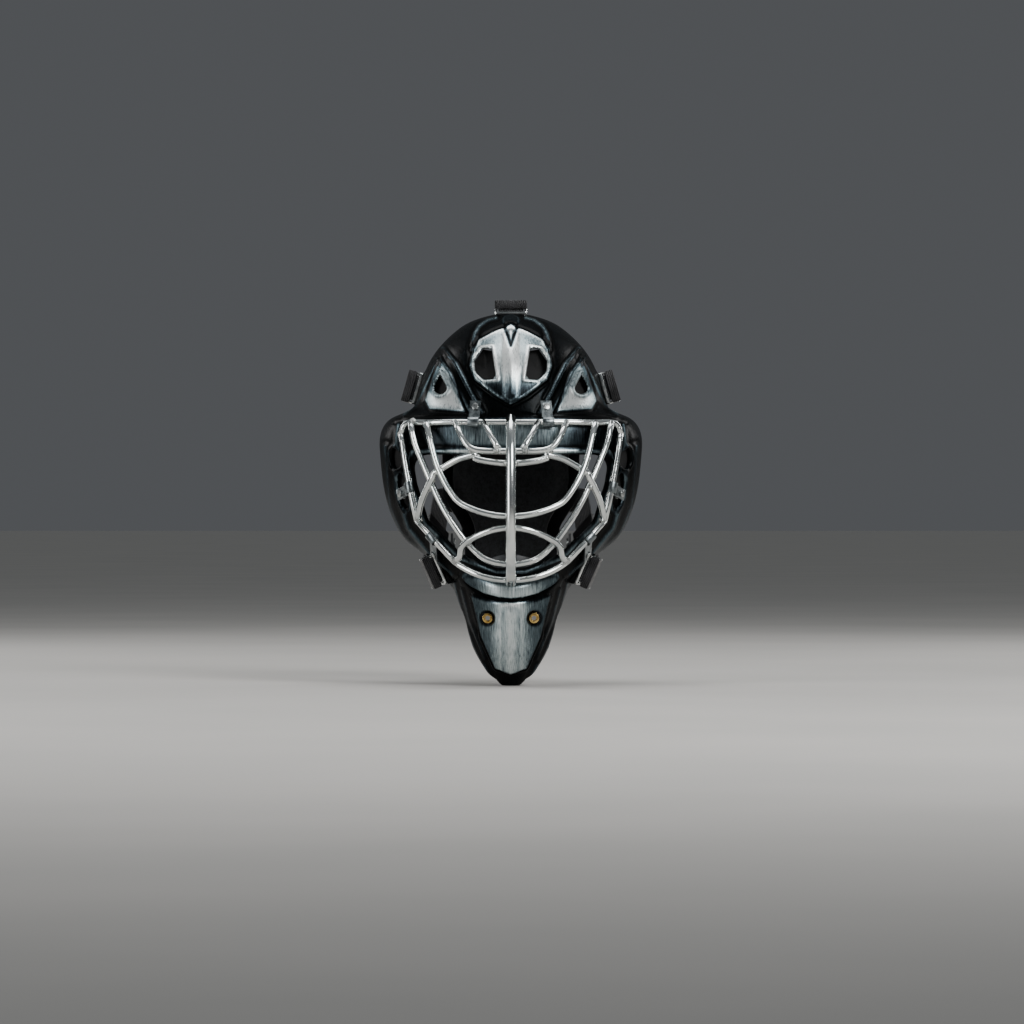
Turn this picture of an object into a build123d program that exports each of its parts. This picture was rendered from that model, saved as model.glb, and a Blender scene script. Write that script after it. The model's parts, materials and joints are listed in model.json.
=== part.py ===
from build123d import *
import math
import os

# An ice hockey goalie mask, worn upright. Millimetres, +Z up, the face towards -Y.
# The origin is the middle of the wearer's head, between the ears. Left and right are the wearer's:
# left is +X.
os.makedirs("parts", exist_ok=True)

# ---------------------------------------------------------------- driving sizes
EAR_HALF_WIDTH = 113.5      # half the widest part of the shell, over the ears
CROWN_HEIGHT = 137.0        # shell's crown above the ears
CHIN_DROP = 183.0           # chin's tip below the ears
FACE_REACH = 122.0          # front of the form ahead of the ears
NAPE_REACH = 110.0          # back of the form behind the ears
WALL = 4.0                  # moulded shell's wall
CREST_RISE = 3.0            # raised panels on the forehead

BACK_HALF_WIDTH = 86.0      # head form that the backplate follows
BACK_REACH = 106.0
BACK_WALL = 3.2

WIRE_RADIUS = 2.7           # cage rods
BAR_RADIUS = 4.4            # heavier centre bar
CAGE_BULGE = 27.0           # how far the cage stands off the form at its middle
CAGE_TOP = 41.6
CAGE_BOTTOM = -92.6
CAGE_SIDE_MARGIN = 18.5     # from the widest part of the shell in to the cage's rim
SEAT_GAP = 0.7              # painted rods stand this far off the shell
WELD_SINK = 0.5             # how far two crossing rods are fused into each other

STRAP_WIDTH = 22.0
STRAP_THICK = 2.0
SOFT_GAP = 0.4              # soft pieces stand this far off their seats

FOREHEAD_PAD_THICK = 13.0
CROWN_PAD_THICK = 10.0
TEMPLE_PAD_THICK = 15.0
JAW_PAD_THICK = 17.0
LINER_THICK = 9.0
SWEATBAND_THICK = 3.0


def save(node, *pieces):
    """Writes one named piece, or a group of like pieces, as its own STEP file."""
    solids = [solid for piece in pieces for solid in piece.solids()]
    export_step(solids[0] if len(solids) == 1 else Compound(children=solids), f"parts/{node}.step")


def both_sides(piece):
    """A piece and its mirror image across the mask."""
    return [piece, piece.mirror(Plane.YZ)]


# ---------------------------------------------------------------- the head-shaped form
# Each level: height, half width, front and rear reach as shares of the driving sizes, and squareness.
FORM_LEVELS = [
    (-1.040, 0.060, -0.780, -0.600, 2.0),
    (-1.000, 0.095, -0.815, -0.560, 2.0),
    (-0.950, 0.170, -0.880, -0.340, 2.1),
    (-0.850, 0.275, -0.955, -0.100, 2.2),
    (-0.710, 0.370, -1.010, 0.180, 2.2),
    (-0.590, 0.430, -1.040, 0.410, 2.2),
    (-0.490, 0.520, -1.040, 0.600, 2.25),
    (-0.435, 0.590, -1.033, 0.680, 2.25),
    (-0.380, 0.690, -1.025, 0.760, 2.3),
    (-0.325, 0.800, -1.018, 0.820, 2.35),
    (-0.245, 0.885, -1.010, 0.880, 2.4),
    (-0.080, 0.970, -1.000, 0.965, 2.5),
    (0.110, 1.000, -1.000, 1.000, 2.5),
    (0.270, 0.985, -0.992, 1.000, 2.5),
    (0.340, 0.915, -0.982, 0.995, 2.4),
    (0.395, 0.770, -0.970, 0.985, 2.3),
    (0.485, 0.705, -0.945, 0.965, 2.2),
    (0.630, 0.660, -0.880, 0.900, 2.1),
    (0.775, 0.565, -0.755, 0.780, 2.05),
    (0.890, 0.430, -0.580, 0.610, 2.0),
    (0.965, 0.280, -0.390, 0.400, 2.0),
    (1.000, 0.120, -0.190, 0.150, 2.0),
]
FORM_MIDDLE = -5.0          # where each level is widest
DOME_FROM = 0.75            # above this share of the crown a level is centred on itself
REAR_SQUARE = 2.05          # the back half of each level is rounder than its front
POINTS_ROUND = 24

BACK_LEVELS = [
    (-0.560, 0.740, 0.760), (-0.430, 0.795, 0.830), (-0.300, 0.860, 0.900), (-0.140, 0.960, 0.970),
    (0.000, 1.000, 1.000), (0.220, 1.000, 1.000), (0.440, 0.970, 0.985), (0.620, 0.880, 0.920),
    (0.760, 0.740, 0.810), (0.860, 0.580, 0.680),
]
BACK_MIDDLE = 8.0


def ring(half, front_y, rear_y, middle, height, square):
    """One closed level, drawn as a rounded super-ellipse."""
    points = []
    for step in range(POINTS_ROUND):
        turn = 2 * math.pi * step / POINTS_ROUND
        across, along = math.sin(turn), math.cos(turn)
        reach, power = (middle - front_y, 2 / square) if along > 0 else (rear_y - middle, 2 / REAR_SQUARE)
        x = half * math.copysign(abs(across) ** power, across)
        y = middle - reach * math.copysign(abs(along) ** power, along)
        points.append(Vector(x, y, height))
    return Wire(Edge.make_spline(points, periodic=True))


def level_height(share):
    return share * (CROWN_HEIGHT if share > 0 else CHIN_DROP)


def form(inset):
    """The mask's whole form, shrunk by inset on every side."""
    rings = []
    for share, width, front, rear, square in FORM_LEVELS:
        height = level_height(share) - share * inset
        front_y = front * FACE_REACH + inset
        rear_y = rear * (NAPE_REACH if rear > 0 else FACE_REACH) - inset
        own_middle = share > DOME_FROM or rear < 0
        middle = (front_y + rear_y) / 2 if own_middle else FORM_MIDDLE
        rings.append(ring(width * EAR_HALF_WIDTH - inset, front_y, rear_y, middle, height, square))
    return Solid.make_loft(rings)


def back_form(inset):
    """The back of the head, shrunk by inset, that the backplate and its liner follow."""
    rings = []
    for share, width, rear in BACK_LEVELS:
        half = width * BACK_HALF_WIDTH - inset
        rings.append(ring(half, -half, rear * BACK_REACH - inset, BACK_MIDDLE, level_height(share), 2.1))
    return Solid.make_loft(rings)


def front_plane(y):
    """Drawn on with x across and z up, facing the viewer in front of the mask."""
    return Plane(origin=(0, y, 0), x_dir=(1, 0, 0), z_dir=(0, -1, 0))


def front_prism(face, near, far):
    """A block from y = near back to y = far, of a face drawn with x across and z up."""
    return extrude(front_plane(near) * face, near - far)


def side_prism(face, half_width=150):
    """A slab across the mask, of a face drawn with y across and z up."""
    return extrude(Plane.YZ * face, half_width, both=True)


def rounded(points, radius):
    """A closed outline with rounded corners."""
    return make_face(FilletPolyline(*points, radius=radius, close=True))


def bent_line(points):
    """A line through points, with each bend as large as its two runs allow."""
    kept = [points[0]]
    for here, after in zip(points[1:], points[2:]):
        if (here - kept[-1]).get_angle(after - here) > 0.6:
            kept.append(here)
    kept.append(points[-1])
    bends = []
    for before, here, after in zip(kept, kept[1:], kept[2:]):
        turn = math.radians((here - before).get_angle(after - here))
        shorter = min((here - before).length, (after - here).length)
        bends.append(0.45 * shorter / math.tan(turn / 2))
    return FilletPolyline(*kept, radius=bends) if bends else Polyline(*kept)


def first_hit(solid, start, direction):
    """Where a ray first meets a solid, and the outward normal there."""
    return solid.find_intersection_points(Axis(start, direction))[0]


def last_hit(solid, start, direction):
    """Where a ray from inside a solid last leaves it, and the outward normal there."""
    forward = Vector(*direction)
    hits = solid.find_intersection_points(Axis(start, direction))
    return max(hits, key=lambda hit: (hit[0] - Vector(*start)).dot(forward))


outer = form(0)
inner = form(WALL)
back_outer = back_form(0)

# ---------------------------------------------------------------- shell outlines
REAR_EDGE = [(0.25, 1.10), (0.40, 0.75), (0.50, 0.42), (0.50, 0.05), (0.42, -0.14), (0.20, -0.27),
             (-0.10, -0.375), (-0.30, -0.53), (-0.47, -0.70), (-0.64, -0.87), (-0.77, -1.00)]


def side_point(y_share, z_share):
    return Vector(y_share * (NAPE_REACH if y_share > 0 else FACE_REACH), level_height(z_share))


rear_points = [side_point(*share) for share in REAR_EDGE]
FRONT_CLEAR = -FACE_REACH - 40
front_corners = [Vector(FRONT_CLEAR, rear_points[-1].Y), Vector(FRONT_CLEAR, rear_points[0].Y)]
shell_side = make_face([bent_line(rear_points), Polyline(rear_points[-1], *front_corners, rear_points[0])])


# ---------------------------------------------------------------- cage
CAGE_HALF_WIDTH = EAR_HALF_WIDTH - CAGE_SIDE_MARGIN
seat_cache = {}


def cage_xz(u, v):
    """Cage places as shares: u of the half width, v from the bottom rail to the top rail."""
    return u * CAGE_HALF_WIDTH, CAGE_BOTTOM + v * (CAGE_TOP - CAGE_BOTTOM)


def face_seat(x, z):
    """The form's front at (x, z): its depth and how squarely it faces forward. Both sides are alike."""
    key = (round(abs(x), 3), round(z, 3))
    if key not in seat_cache:
        hit, normal = first_hit(outer, (key[0], -2 * FACE_REACH, z), (0, 1, 0))
        seat_cache[key] = (hit.Y, normal)
    return seat_cache[key]


def cage_point(u, v, layer=0.0):
    """A rod's centre. Layer 0 lies on the cage's own surface, and each layer is one rod further out."""
    x, z = cage_xz(u, v)
    depth, normal = face_seat(x, z)
    across = max(0.0, 1 - u * u)
    upright = max(0.0, 4 * v * (1 - v))
    bulge = CAGE_BULGE * across * upright ** 0.6
    seat = (SEAT_GAP + WIRE_RADIUS) / abs(normal.Y)
    return Vector(x, depth - seat - bulge - layer * (2 * WIRE_RADIUS - WELD_SINK), z)


def round_rod(path, radius):
    """A round rod along a line."""
    start = Plane(origin=path @ 0, z_dir=path % 0)
    return sweep(start * Circle(radius), path=path)


def smooth_outline(corners, count):
    """Evenly spaced (u, v, layer) places along a smooth line through the given ones."""
    line = Spline(*[Vector(*corner) for corner in corners])
    return [tuple(line @ (step / count)) for step in range(count + 1)]


def cage_line(corners, count):
    """A rod's centre line through the given places."""
    return bent_line([cage_point(*place) for place in smooth_outline(corners, count)])


def cage_rod(corners, count=14, radius=WIRE_RADIUS):
    return round_rod(cage_line(corners, count), radius)


def mirrored(corners):
    """A symmetric line: the given places from +X to the middle, then their mirror images."""
    return corners + [(-u, v, layer) for u, v, layer in reversed(corners[:-1])]


# The top rail rests on the forehead, and the others hang from it or stand off the face.
TOP_RAIL = mirrored([(0.985, 0.93, 0), (0.975, 0.985, 0), (0.93, 1.0, 0), (0.80, 1.0, 0), (0.60, 1.0, 0),
                     (0.30, 1.0, 0), (0.0, 1.0, 0)])
SIDE_RAIL = [(0.985, 0.93, 0), (0.94, 0.71, 0), (0.89, 0.53, 0), (0.84, 0.375, 0)]
LOWER_RAIL = [(0.84, 0.375, 0), (0.73, 0.29, 0), (0.62, 0.205, 0), (0.50, 0.115, 0)]
BOTTOM_RAIL = mirrored([(0.50, 0.115, 0), (0.36, 0.055, 0), (0.20, 0.015, 0), (0.0, 0.0, 0)])
EYE_LOOP = mirrored([(0.762, 1.0, 1.0), (0.715, 0.87, 0.7), (0.64, 0.69, 0.5), (0.52, 0.54, 0.3),
                     (0.36, 0.455, 0.0), (0.18, 0.415, 0.0), (0.0, 0.405, 0.0)])
OUTER_LOOP = mirrored([(0.905, 1.0, 1.0), (0.84, 0.83, 0.0), (0.745, 0.67, -0.5), (0.60, 0.45, -0.8),
                       (0.41, 0.25, -1.0), (0.31, 0.18, -0.7), (0.18, 0.12, -0.2), (0.0, 0.097, 0.0)])
BROW_LOOP = mirrored([(0.50, 1.0, 1.0), (0.455, 0.93, 0.9), (0.39, 0.855, 0.6), (0.29, 0.82, 0.2),
                      (0.15, 0.815, 0.0), (0.0, 0.815, 0.0)])
BROW_STRUT = [(0.245, 1.0, 1.0), (0.185, 0.92, 1.0), (0.11, 0.83, 1.0)]
EYE_ARCH = [(0.835, 0.385, 0.6), (0.79, 0.52, 0.4), (0.71, 0.635, 0.2), (0.60, 0.715, -0.4),
            (0.48, 0.765, -0.5), (0.38, 0.785, -0.4), (0.30, 0.795, -0.3)]
EYE_BRIDGE = mirrored([(0.33, 0.775, 0.2), (0.20, 0.75, 0.0), (0.0, 0.738, 0.0)])
MOUTH_ARCH = mirrored([(0.505, 0.12, 0.9), (0.44, 0.205, 0.3), (0.31, 0.28, 0.0), (0.15, 0.322, 0.0),
                       (0.0, 0.335, 0.0)])
CENTRE_BAR = [(0.0, 1.025, 1.25), (0.0, 0.94, 1.25), (0.0, 0.80, 1.25), (0.0, 0.60, 1.25), (0.0, 0.40, 1.25),
              (0.0, 0.20, 1.25), (0.0, 0.08, 1.25), (0.0, -0.02, 1.25)]

top_line = cage_line(TOP_RAIL, 26)
side_line = cage_line(SIDE_RAIL, 6)
lower_line = cage_line(LOWER_RAIL, 4)
save("cage_top_rail", round_rod(top_line, WIRE_RADIUS))
save("cage_side_rails", *both_sides(round_rod(side_line, WIRE_RADIUS)))
save("cage_lower_rails", *both_sides(round_rod(lower_line, WIRE_RADIUS)))
save("cage_bottom_rail", cage_rod(BOTTOM_RAIL, 14))
save("cage_eye_loop", cage_rod(EYE_LOOP, 26))
save("cage_outer_loop", cage_rod(OUTER_LOOP, 30))
save("cage_brow_loop", cage_rod(BROW_LOOP, 22))
save("cage_brow_struts", *both_sides(cage_rod(BROW_STRUT, 3)))
save("cage_eye_arches", *both_sides(cage_rod(EYE_ARCH, 12)))
save("cage_eye_bridge", cage_rod(EYE_BRIDGE, 10))
save("cage_mouth_arch", cage_rod(MOUTH_ARCH, 18))
save("cage_centre_bar", cage_rod(CENTRE_BAR, 12, BAR_RADIUS))


# ---------------------------------------------------------------- strap clips
CLIP_LENGTH = 28.0          # along the pin, across the strap
CLIP_DEPTH = 21.0           # along the strap
CLIP_BASE_THICK = 2.6
BOSS_RISE = 1.2             # flat seat under each clip, above the form
EAR_THICK = 1.8
EAR_RADIUS = 3.6
PIN_RADIUS = 1.5
PIN_HEIGHT = 8.6            # above the seat
PIN_BACK = 6.0              # behind the clip's middle
PIN_FIT = 0.06              # running clearance round the pin
LEVER_THICK = 7.2
LEVER_OPEN_DEG = 75.0
STRAP_LIFT = 0.3            # strap's running gap over the base
RIB_PITCH = 1.6
SCREW_RADIUS = 1.6
SCREW_FIT = 0.15
HEAD_RADIUS = 3.0
HEAD_THICK = 1.1
CLIP_SCREWS_APART = 14.0
NUT_RADIUS = 4.6
NUT_THICK = 1.6
NUT_DEPTH = 2.4             # from a seat down to the T-nut that clamps the wall

STRAP_LEVEL = CLIP_BASE_THICK + STRAP_LIFT


def clip_frame(y, z, lean_deg):
    """The seat of a strap clip on the +X side: z out of the shell, y back along the strap."""
    hit, normal = last_hit(outer, (0, y, z), (1, 0, 0))
    level = Vector(normal.X, normal.Y, 0).normalized()
    lean = math.radians(lean_deg)
    outward = level * math.cos(lean) + Vector(0, 0, math.sin(lean))
    along = Vector(-level.Y, level.X, 0)
    return Plane(origin=hit + outward * BOSS_RISE, x_dir=along.cross(outward), z_dir=outward)


def box(x, y, z):
    """A block between three pairs of low and high values."""
    return Pos(sum(x) / 2, sum(y) / 2, sum(z) / 2) * Box(x[1] - x[0], y[1] - y[0], z[1] - z[0])


def rod_x(length, radius, y, z):
    """A round rod along x through (y, z)."""
    return Pos(0, y, z) * Rot(0, 90, 0) * Cylinder(radius, length)


def post(radius, low, high, x=0.0, y=0.0):
    """A round rod along z."""
    return Pos(x, y, (low + high) / 2) * Cylinder(radius, high - low)


def clip_screw_places():
    return [(side * CLIP_SCREWS_APART / 2, -2.5) for side in (-1, 1)]


def clip_base():
    """Steel plate with two ears that hold the lever's pin."""
    half = CLIP_LENGTH / 2
    plate = box((-half, half), (-CLIP_DEPTH / 2, CLIP_DEPTH / 2), (0, CLIP_BASE_THICK))
    plate = fillet(plate.edges().filter_by(Axis.Z), 1.5)
    for side in (-1, 1):
        middle = side * (half - EAR_THICK / 2)
        across = (middle - EAR_THICK / 2, middle + EAR_THICK / 2)
        ear = box(across, (PIN_BACK - EAR_RADIUS, PIN_BACK + EAR_RADIUS), (1, PIN_HEIGHT))
        plate += ear + Pos(middle, 0, 0) * rod_x(EAR_THICK, EAR_RADIUS, PIN_BACK, PIN_HEIGHT)
    plate -= rod_x(CLIP_LENGTH + 2, PIN_RADIUS, PIN_BACK, PIN_HEIGHT)
    for x, y in clip_screw_places():
        plate -= post(SCREW_RADIUS + SCREW_FIT, -1, CLIP_BASE_THICK + 1, x, y)
        plate -= post(HEAD_RADIUS + SCREW_FIT, CLIP_BASE_THICK - HEAD_THICK, CLIP_BASE_THICK + 1, x, y)
    return plate


def clip_lever(ribs_along):
    """Ribbed thumb lever that clamps the strap. Its ribs run along the pin, or across it."""
    half = CLIP_LENGTH / 2
    knuckle_half = half - EAR_THICK - 0.3
    under = STRAP_LEVEL + STRAP_THICK + 0.4
    front = -CLIP_DEPTH / 2 - 0.5
    grip = box((-half, half), (front, PIN_BACK - EAR_RADIUS - 0.6), (under, under + LEVER_THICK))
    grip = fillet(grip.edges().filter_by(Axis.Y), 1.2)
    knuckle_radius = PIN_HEIGHT - STRAP_LEVEL - STRAP_THICK - 0.2
    arm_height = (PIN_HEIGHT - 2.4, PIN_HEIGHT + knuckle_radius)
    arm = box((-knuckle_half, knuckle_half), (PIN_BACK - 6, PIN_BACK), arm_height)
    lever = grip + arm + rod_x(2 * knuckle_half, knuckle_radius, PIN_BACK, PIN_HEIGHT)
    lever -= rod_x(CLIP_LENGTH + 2, PIN_RADIUS + PIN_FIT, PIN_BACK, PIN_HEIGHT)
    if ribs_along:
        for row in range(4):
            lever -= rod_x(CLIP_LENGTH + 2, 0.45, front, under + 1.2 + row * RIB_PITCH)
    else:
        count = int(CLIP_LENGTH / RIB_PITCH) - 1
        for row in range(count):
            x = (row - (count - 1) / 2) * RIB_PITCH
            lever -= post(0.45, under - 1, under + LEVER_THICK + 1, x, front)
    return lever


def screw_with_nut(seat, x, y, top):
    """A pan screw through a seat and the T-nut under it. Top is its head's height above the seat."""
    screw = post(HEAD_RADIUS, top - HEAD_THICK, top, x, y)
    screw += post(SCREW_RADIUS, -NUT_DEPTH - NUT_THICK, top, x, y)
    nut = post(NUT_RADIUS, -NUT_DEPTH - NUT_THICK, -NUT_DEPTH, x, y)
    nut -= post(SCREW_RADIUS, -NUT_DEPTH - NUT_THICK - 1, 0, x, y)
    return seat.location * screw, seat.location * nut


def screw_hole(seat, x, y):
    """The way that a screw and its T-nut need through the wall."""
    way = post(SCREW_RADIUS + SCREW_FIT, -12, 12, x, y)
    return seat.location * (way + post(NUT_RADIUS + SCREW_FIT, -14, -NUT_DEPTH, x, y))


UPPER_CLIP_LEVEL = 0.525    # share of the crown height
LOWER_CLIP_LEVEL = -0.453   # share of the chin drop
TOP_SEAT = Plane(origin=(0, -2, CROWN_HEIGHT - 0.2), x_dir=(1, 0, 0), z_dir=(0, 0, 1))
UPPER_SEAT = clip_frame(-4.0, level_height(UPPER_CLIP_LEVEL), 16.0)
LOWER_SEAT = clip_frame(-52.0, level_height(LOWER_CLIP_LEVEL), -24.0)

clip_base_shape = clip_base()
pin_shape = rod_x(CLIP_LENGTH, PIN_RADIUS, PIN_BACK, PIN_HEIGHT)
side_lever = clip_lever(True)
clip_screws, clip_nuts, clip_holes, clip_bosses, clip_flats = [], [], [], [], []
for seat, paired in ((TOP_SEAT, False), (UPPER_SEAT, True), (LOWER_SEAT, True)):
    half, deep = CLIP_LENGTH / 2 + 1, CLIP_DEPTH / 2 + 1
    boss = seat.location * box((-half, half), (-deep, deep), (-BOSS_RISE - 5, 0))
    flat = seat.location * box((-half, half), (-deep, deep), (0, 9))
    clip_bosses += both_sides(boss) if paired else [boss]
    clip_flats += both_sides(flat) if paired else [flat]
    for x, y in clip_screw_places():
        screw, nut = screw_with_nut(seat, x, y, CLIP_BASE_THICK)
        hole = screw_hole(seat, x, y)
        clip_screws += both_sides(screw) if paired else [screw]
        clip_nuts += both_sides(nut) if paired else [nut]
        clip_holes += both_sides(hole) if paired else [hole]

for name, seat in (("upper", UPPER_SEAT), ("lower", LOWER_SEAT)):
    for side, base, lever, pin in zip(
        ("left", "right"),
        both_sides(seat.location * clip_base_shape),
        both_sides(seat.location * side_lever),
        both_sides(seat.location * pin_shape),
    ):
        save(f"{name}_{side}_clip_base", base)
        save(f"{name}_{side}_clip_lever", lever)
        save(f"{name}_{side}_clip_pin", pin)
save("top_clip_base", TOP_SEAT.location * clip_base_shape)
save("top_clip_lever", TOP_SEAT.location * clip_lever(False))
save("top_clip_pin", TOP_SEAT.location * pin_shape)
save("clip_screws", *clip_screws)
save("clip_t_nuts", *clip_nuts)


# ---------------------------------------------------------------- cage clips
CAGE_CLIP_WIDTH = 9.5
CAGE_CLIP_THICK = 1.6
CAGE_CLIP_PLAY = 0.25       # round the rod
FOOT_RISE = 0.8             # flat seat under a clip's foot
FOOT_LENGTH = 11.0
CLIP_FROM_MIDDLE = 31.8     # top clips, along the top rail


def cage_clip(line, share, foot_x, foot_z):
    """A hook over a rim rod, screwed to the shell near (foot_x, foot_z).

    Gives clip, screw, nut, hole, boss and flat.
    """
    rod, tangent = line @ share, line % share
    depth, normal = face_seat(foot_x, foot_z)
    hit = Vector(foot_x, depth, foot_z)
    outward = (normal - tangent * normal.dot(tangent)).normalized()
    seat_point = hit + tangent * tangent.dot(rod - hit) + outward * FOOT_RISE
    along = outward.cross(tangent)
    along = along if along.dot(rod - seat_point) > 0 else -along
    seat = Plane(origin=seat_point, x_dir=along.cross(outward), z_dir=outward)
    reach, height = (rod - seat_point).dot(along), (rod - seat_point).dot(outward)
    hook_inner = WIRE_RADIUS + CAGE_CLIP_PLAY
    hook_outer = hook_inner + CAGE_CLIP_THICK
    half = CAGE_CLIP_WIDTH / 2
    clip = rod_x(CAGE_CLIP_WIDTH, hook_outer, reach, height)
    hook_root = (reach - hook_outer, reach - hook_inner + 0.4)
    clip += box((-half, half), hook_root, (0, max(height, CAGE_CLIP_THICK)))
    clip += box((-half, half), (-FOOT_LENGTH / 2, reach - hook_inner), (0, CAGE_CLIP_THICK))
    clip -= rod_x(CAGE_CLIP_WIDTH + 2, hook_inner, reach, height)
    clip -= box((-half - 1, half + 1), (reach, reach + 20), (-20, height - 0.5))
    clip -= box((-half - 1, half + 1), (reach - hook_inner - 0.01, reach + 20), (-20, 0.3))
    clip -= box((-half - 1, half + 1), (-20, reach + 20), (-20, 0))
    clip -= post(SCREW_RADIUS + SCREW_FIT, -1, CAGE_CLIP_THICK + 1)
    screw, nut = screw_with_nut(seat, 0, 0, CAGE_CLIP_THICK + HEAD_THICK)
    footprint = (-half - 1, half + 1), (-FOOT_LENGTH / 2 - 1, FOOT_LENGTH / 2)
    boss = seat.location * box(*footprint, (-5, 0))
    flat = seat.location * box(*footprint, (0, 6))
    return seat.location * clip, screw, nut, screw_hole(seat, 0, 0), boss, flat


side_foot, jaw_foot = side_line @ 0.62, lower_line @ 0.45
CAGE_CLIPS = {
    "cage_top_clips": (
        top_line, 0.5 - CLIP_FROM_MIDDLE / top_line.length, CLIP_FROM_MIDDLE, CAGE_TOP + 12.5,
    ),
    "cage_side_clips": (side_line, 0.62, side_foot.X + 8, side_foot.Z),
    "cage_jaw_clips": (lower_line, 0.45, jaw_foot.X + 5.5, jaw_foot.Z - 5),
}
cage_screws, cage_nuts, cage_holes, cage_bosses, cage_flats = [], [], [], [], []
for name, place in CAGE_CLIPS.items():
    clip, screw, nut, hole, boss, flat = cage_clip(*place)
    save(name, *both_sides(clip))
    cage_screws += both_sides(screw)
    cage_nuts += both_sides(nut)
    cage_holes += both_sides(hole)
    cage_bosses += both_sides(boss)
    cage_flats += both_sides(flat)
save("cage_screws", *cage_screws)
save("cage_t_nuts", *cage_nuts)

# ---------------------------------------------------------------- throat guard fitting
INSERT_X = 19.7
INSERT_Z = -125.0
INSERT_BORE = 2.0
INSERT_RADIUS = 3.4
INSERT_FLANGE = 4.4
INSERT_FLANGE_THICK = 0.8
INSERT_LENGTH = 9.0
INSERT_BOSS = 5.6
INSERT_BOSS_RISE = 1.8

insert_face = face_seat(INSERT_X, INSERT_Z)[0] - INSERT_BOSS_RISE
insert_seat = Plane(origin=(INSERT_X, insert_face, INSERT_Z), x_dir=(1, 0, 0), z_dir=(0, -1, 0))
insert = post(INSERT_FLANGE, 0, INSERT_FLANGE_THICK) + post(INSERT_RADIUS, -INSERT_LENGTH, 0)
insert -= post(INSERT_BORE, -INSERT_LENGTH - 1, INSERT_FLANGE_THICK + 1)
insert_boss = insert_seat.location * post(INSERT_BOSS, -INSERT_LENGTH, 0)
insert_hole = insert_seat.location * (post(INSERT_RADIUS, -INSERT_LENGTH - 20, 1) + post(INSERT_BOSS, 0, 10))
save("throat_guard_inserts", *both_sides(insert_seat.location * insert))

# ---------------------------------------------------------------- chin strap studs
STUD_Y = -80.0
STUD_Z = -62.0
STUD_RADIUS = 2.2
STUD_BOSS = 6.0
STUD_INNER = 52.0           # the boss's inner face
STUD_CAP = 5.0
STUD_CAP_THICK = 1.6
EYELET_THICK = 2.2
STUD_FIT = 0.08
EYELET_GAP = 0.3

cap_face = STUD_INNER - EYELET_THICK - 2 * EYELET_GAP
stud_seat = Plane(origin=(0, STUD_Y, STUD_Z), x_dir=(0, 1, 0), z_dir=(1, 0, 0))
stud = post(STUD_CAP, cap_face - STUD_CAP_THICK, cap_face) + post(STUD_RADIUS, cap_face, STUD_INNER + 6)
stud_boss = stud_seat.location * post(STUD_BOSS, STUD_INNER, EAR_HALF_WIDTH)
stud_hole = stud_seat.location * post(STUD_RADIUS, STUD_INNER - 1, STUD_INNER + 6)
save("chin_strap_studs", *both_sides(stud_seat.location * stud))

# ---------------------------------------------------------------- shell
FOREHEAD_FROM = CAGE_TOP + WIRE_RADIUS + 3.2     # the crest starts just above the cage's top rail
FOREHEAD_VENT = [
    (0.108, 0.345), (0.145, 0.655), (0.222, 0.640), (0.275, 0.530), (0.270, 0.415), (0.205, 0.335),
]
SIDE_VENT_X = 59.9
SIDE_VENT_RADIUS = 6.5
SIDE_VENT_TIP = 12.5
SIDE_VENT_LEVEL = 0.27
EAR_VENTS = [(-74.0, 10.7, 10.0, 9.5), (-79.0, -17.0, 9.0, 15.0)]     # y, z, half width, half height


def forehead_point(x_share, level):
    """A place on the forehead: shares of the half width, and of the way from the cage up to the crown."""
    return x_share * EAR_HALF_WIDTH, FOREHEAD_FROM + level * (CROWN_HEIGHT - FOREHEAD_FROM)


def mirrored_outline(points):
    """Outline points from the +X side, closed with their mirror images."""
    return points + [(-x, z) for x, z in reversed(points) if x > 0.01]


crest_points = [forehead_point(*share) for share in
                [(0.0, 0.877), (0.247, 0.730), (0.287, 0.640), (0.308, 0.475), (0.273, 0.340), (0.0, 0.100)]]
crest_outline = rounded(mirrored_outline(crest_points), 4.0)
chin_points = [(x * EAR_HALF_WIDTH, level_height(z)) for x, z in
               [(0.0, -0.600), (0.20, -0.590), (0.335, -0.560),
                 (0.24, -0.780), (0.13, -0.930), (0.0, -0.950)]]
chin_outline = rounded(mirrored_outline(chin_points), 4.0)
CHIN_BACK = -0.80 * FACE_REACH      # the chin panel's block stops ahead of the shell's rear edge

vent_face = rounded([forehead_point(*share) for share in FOREHEAD_VENT], 3.5)
drop_x, drop_z = SIDE_VENT_X, forehead_point(0, SIDE_VENT_LEVEL)[1]
drop_face = Pos(drop_x, drop_z) * make_face([
    ThreePointArc((-SIDE_VENT_RADIUS, 0), (0, -SIDE_VENT_RADIUS), (SIDE_VENT_RADIUS, 0)),
    Polyline((SIDE_VENT_RADIUS, 0), (0, SIDE_VENT_TIP), (-SIDE_VENT_RADIUS, 0)),
])
vent_cuts = []
for face in (vent_face, drop_face):
    vent_cuts += both_sides(front_prism(face, -2 * FACE_REACH, -5))
for y, z, half_width, half_height in EAR_VENTS:
    hit, normal = last_hit(outer, (0, y, z), (1, 0, 0))
    across = Vector(0, 0, 1).cross(normal)
    ear_plane = Plane(origin=hit, x_dir=across, z_dir=normal)
    vent_cuts += both_sides(extrude(ear_plane * Ellipse(half_width, half_height), 12, both=True))

FACE_OPENING = [(0.884, 0.794), (0.842, 0.615), (0.737, 0.377), (0.442, 0.168), (0.13, 0.079)]
face_outline = rounded(mirrored_outline([cage_xz(*share) for share in FACE_OPENING]), 11.0)

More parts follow.
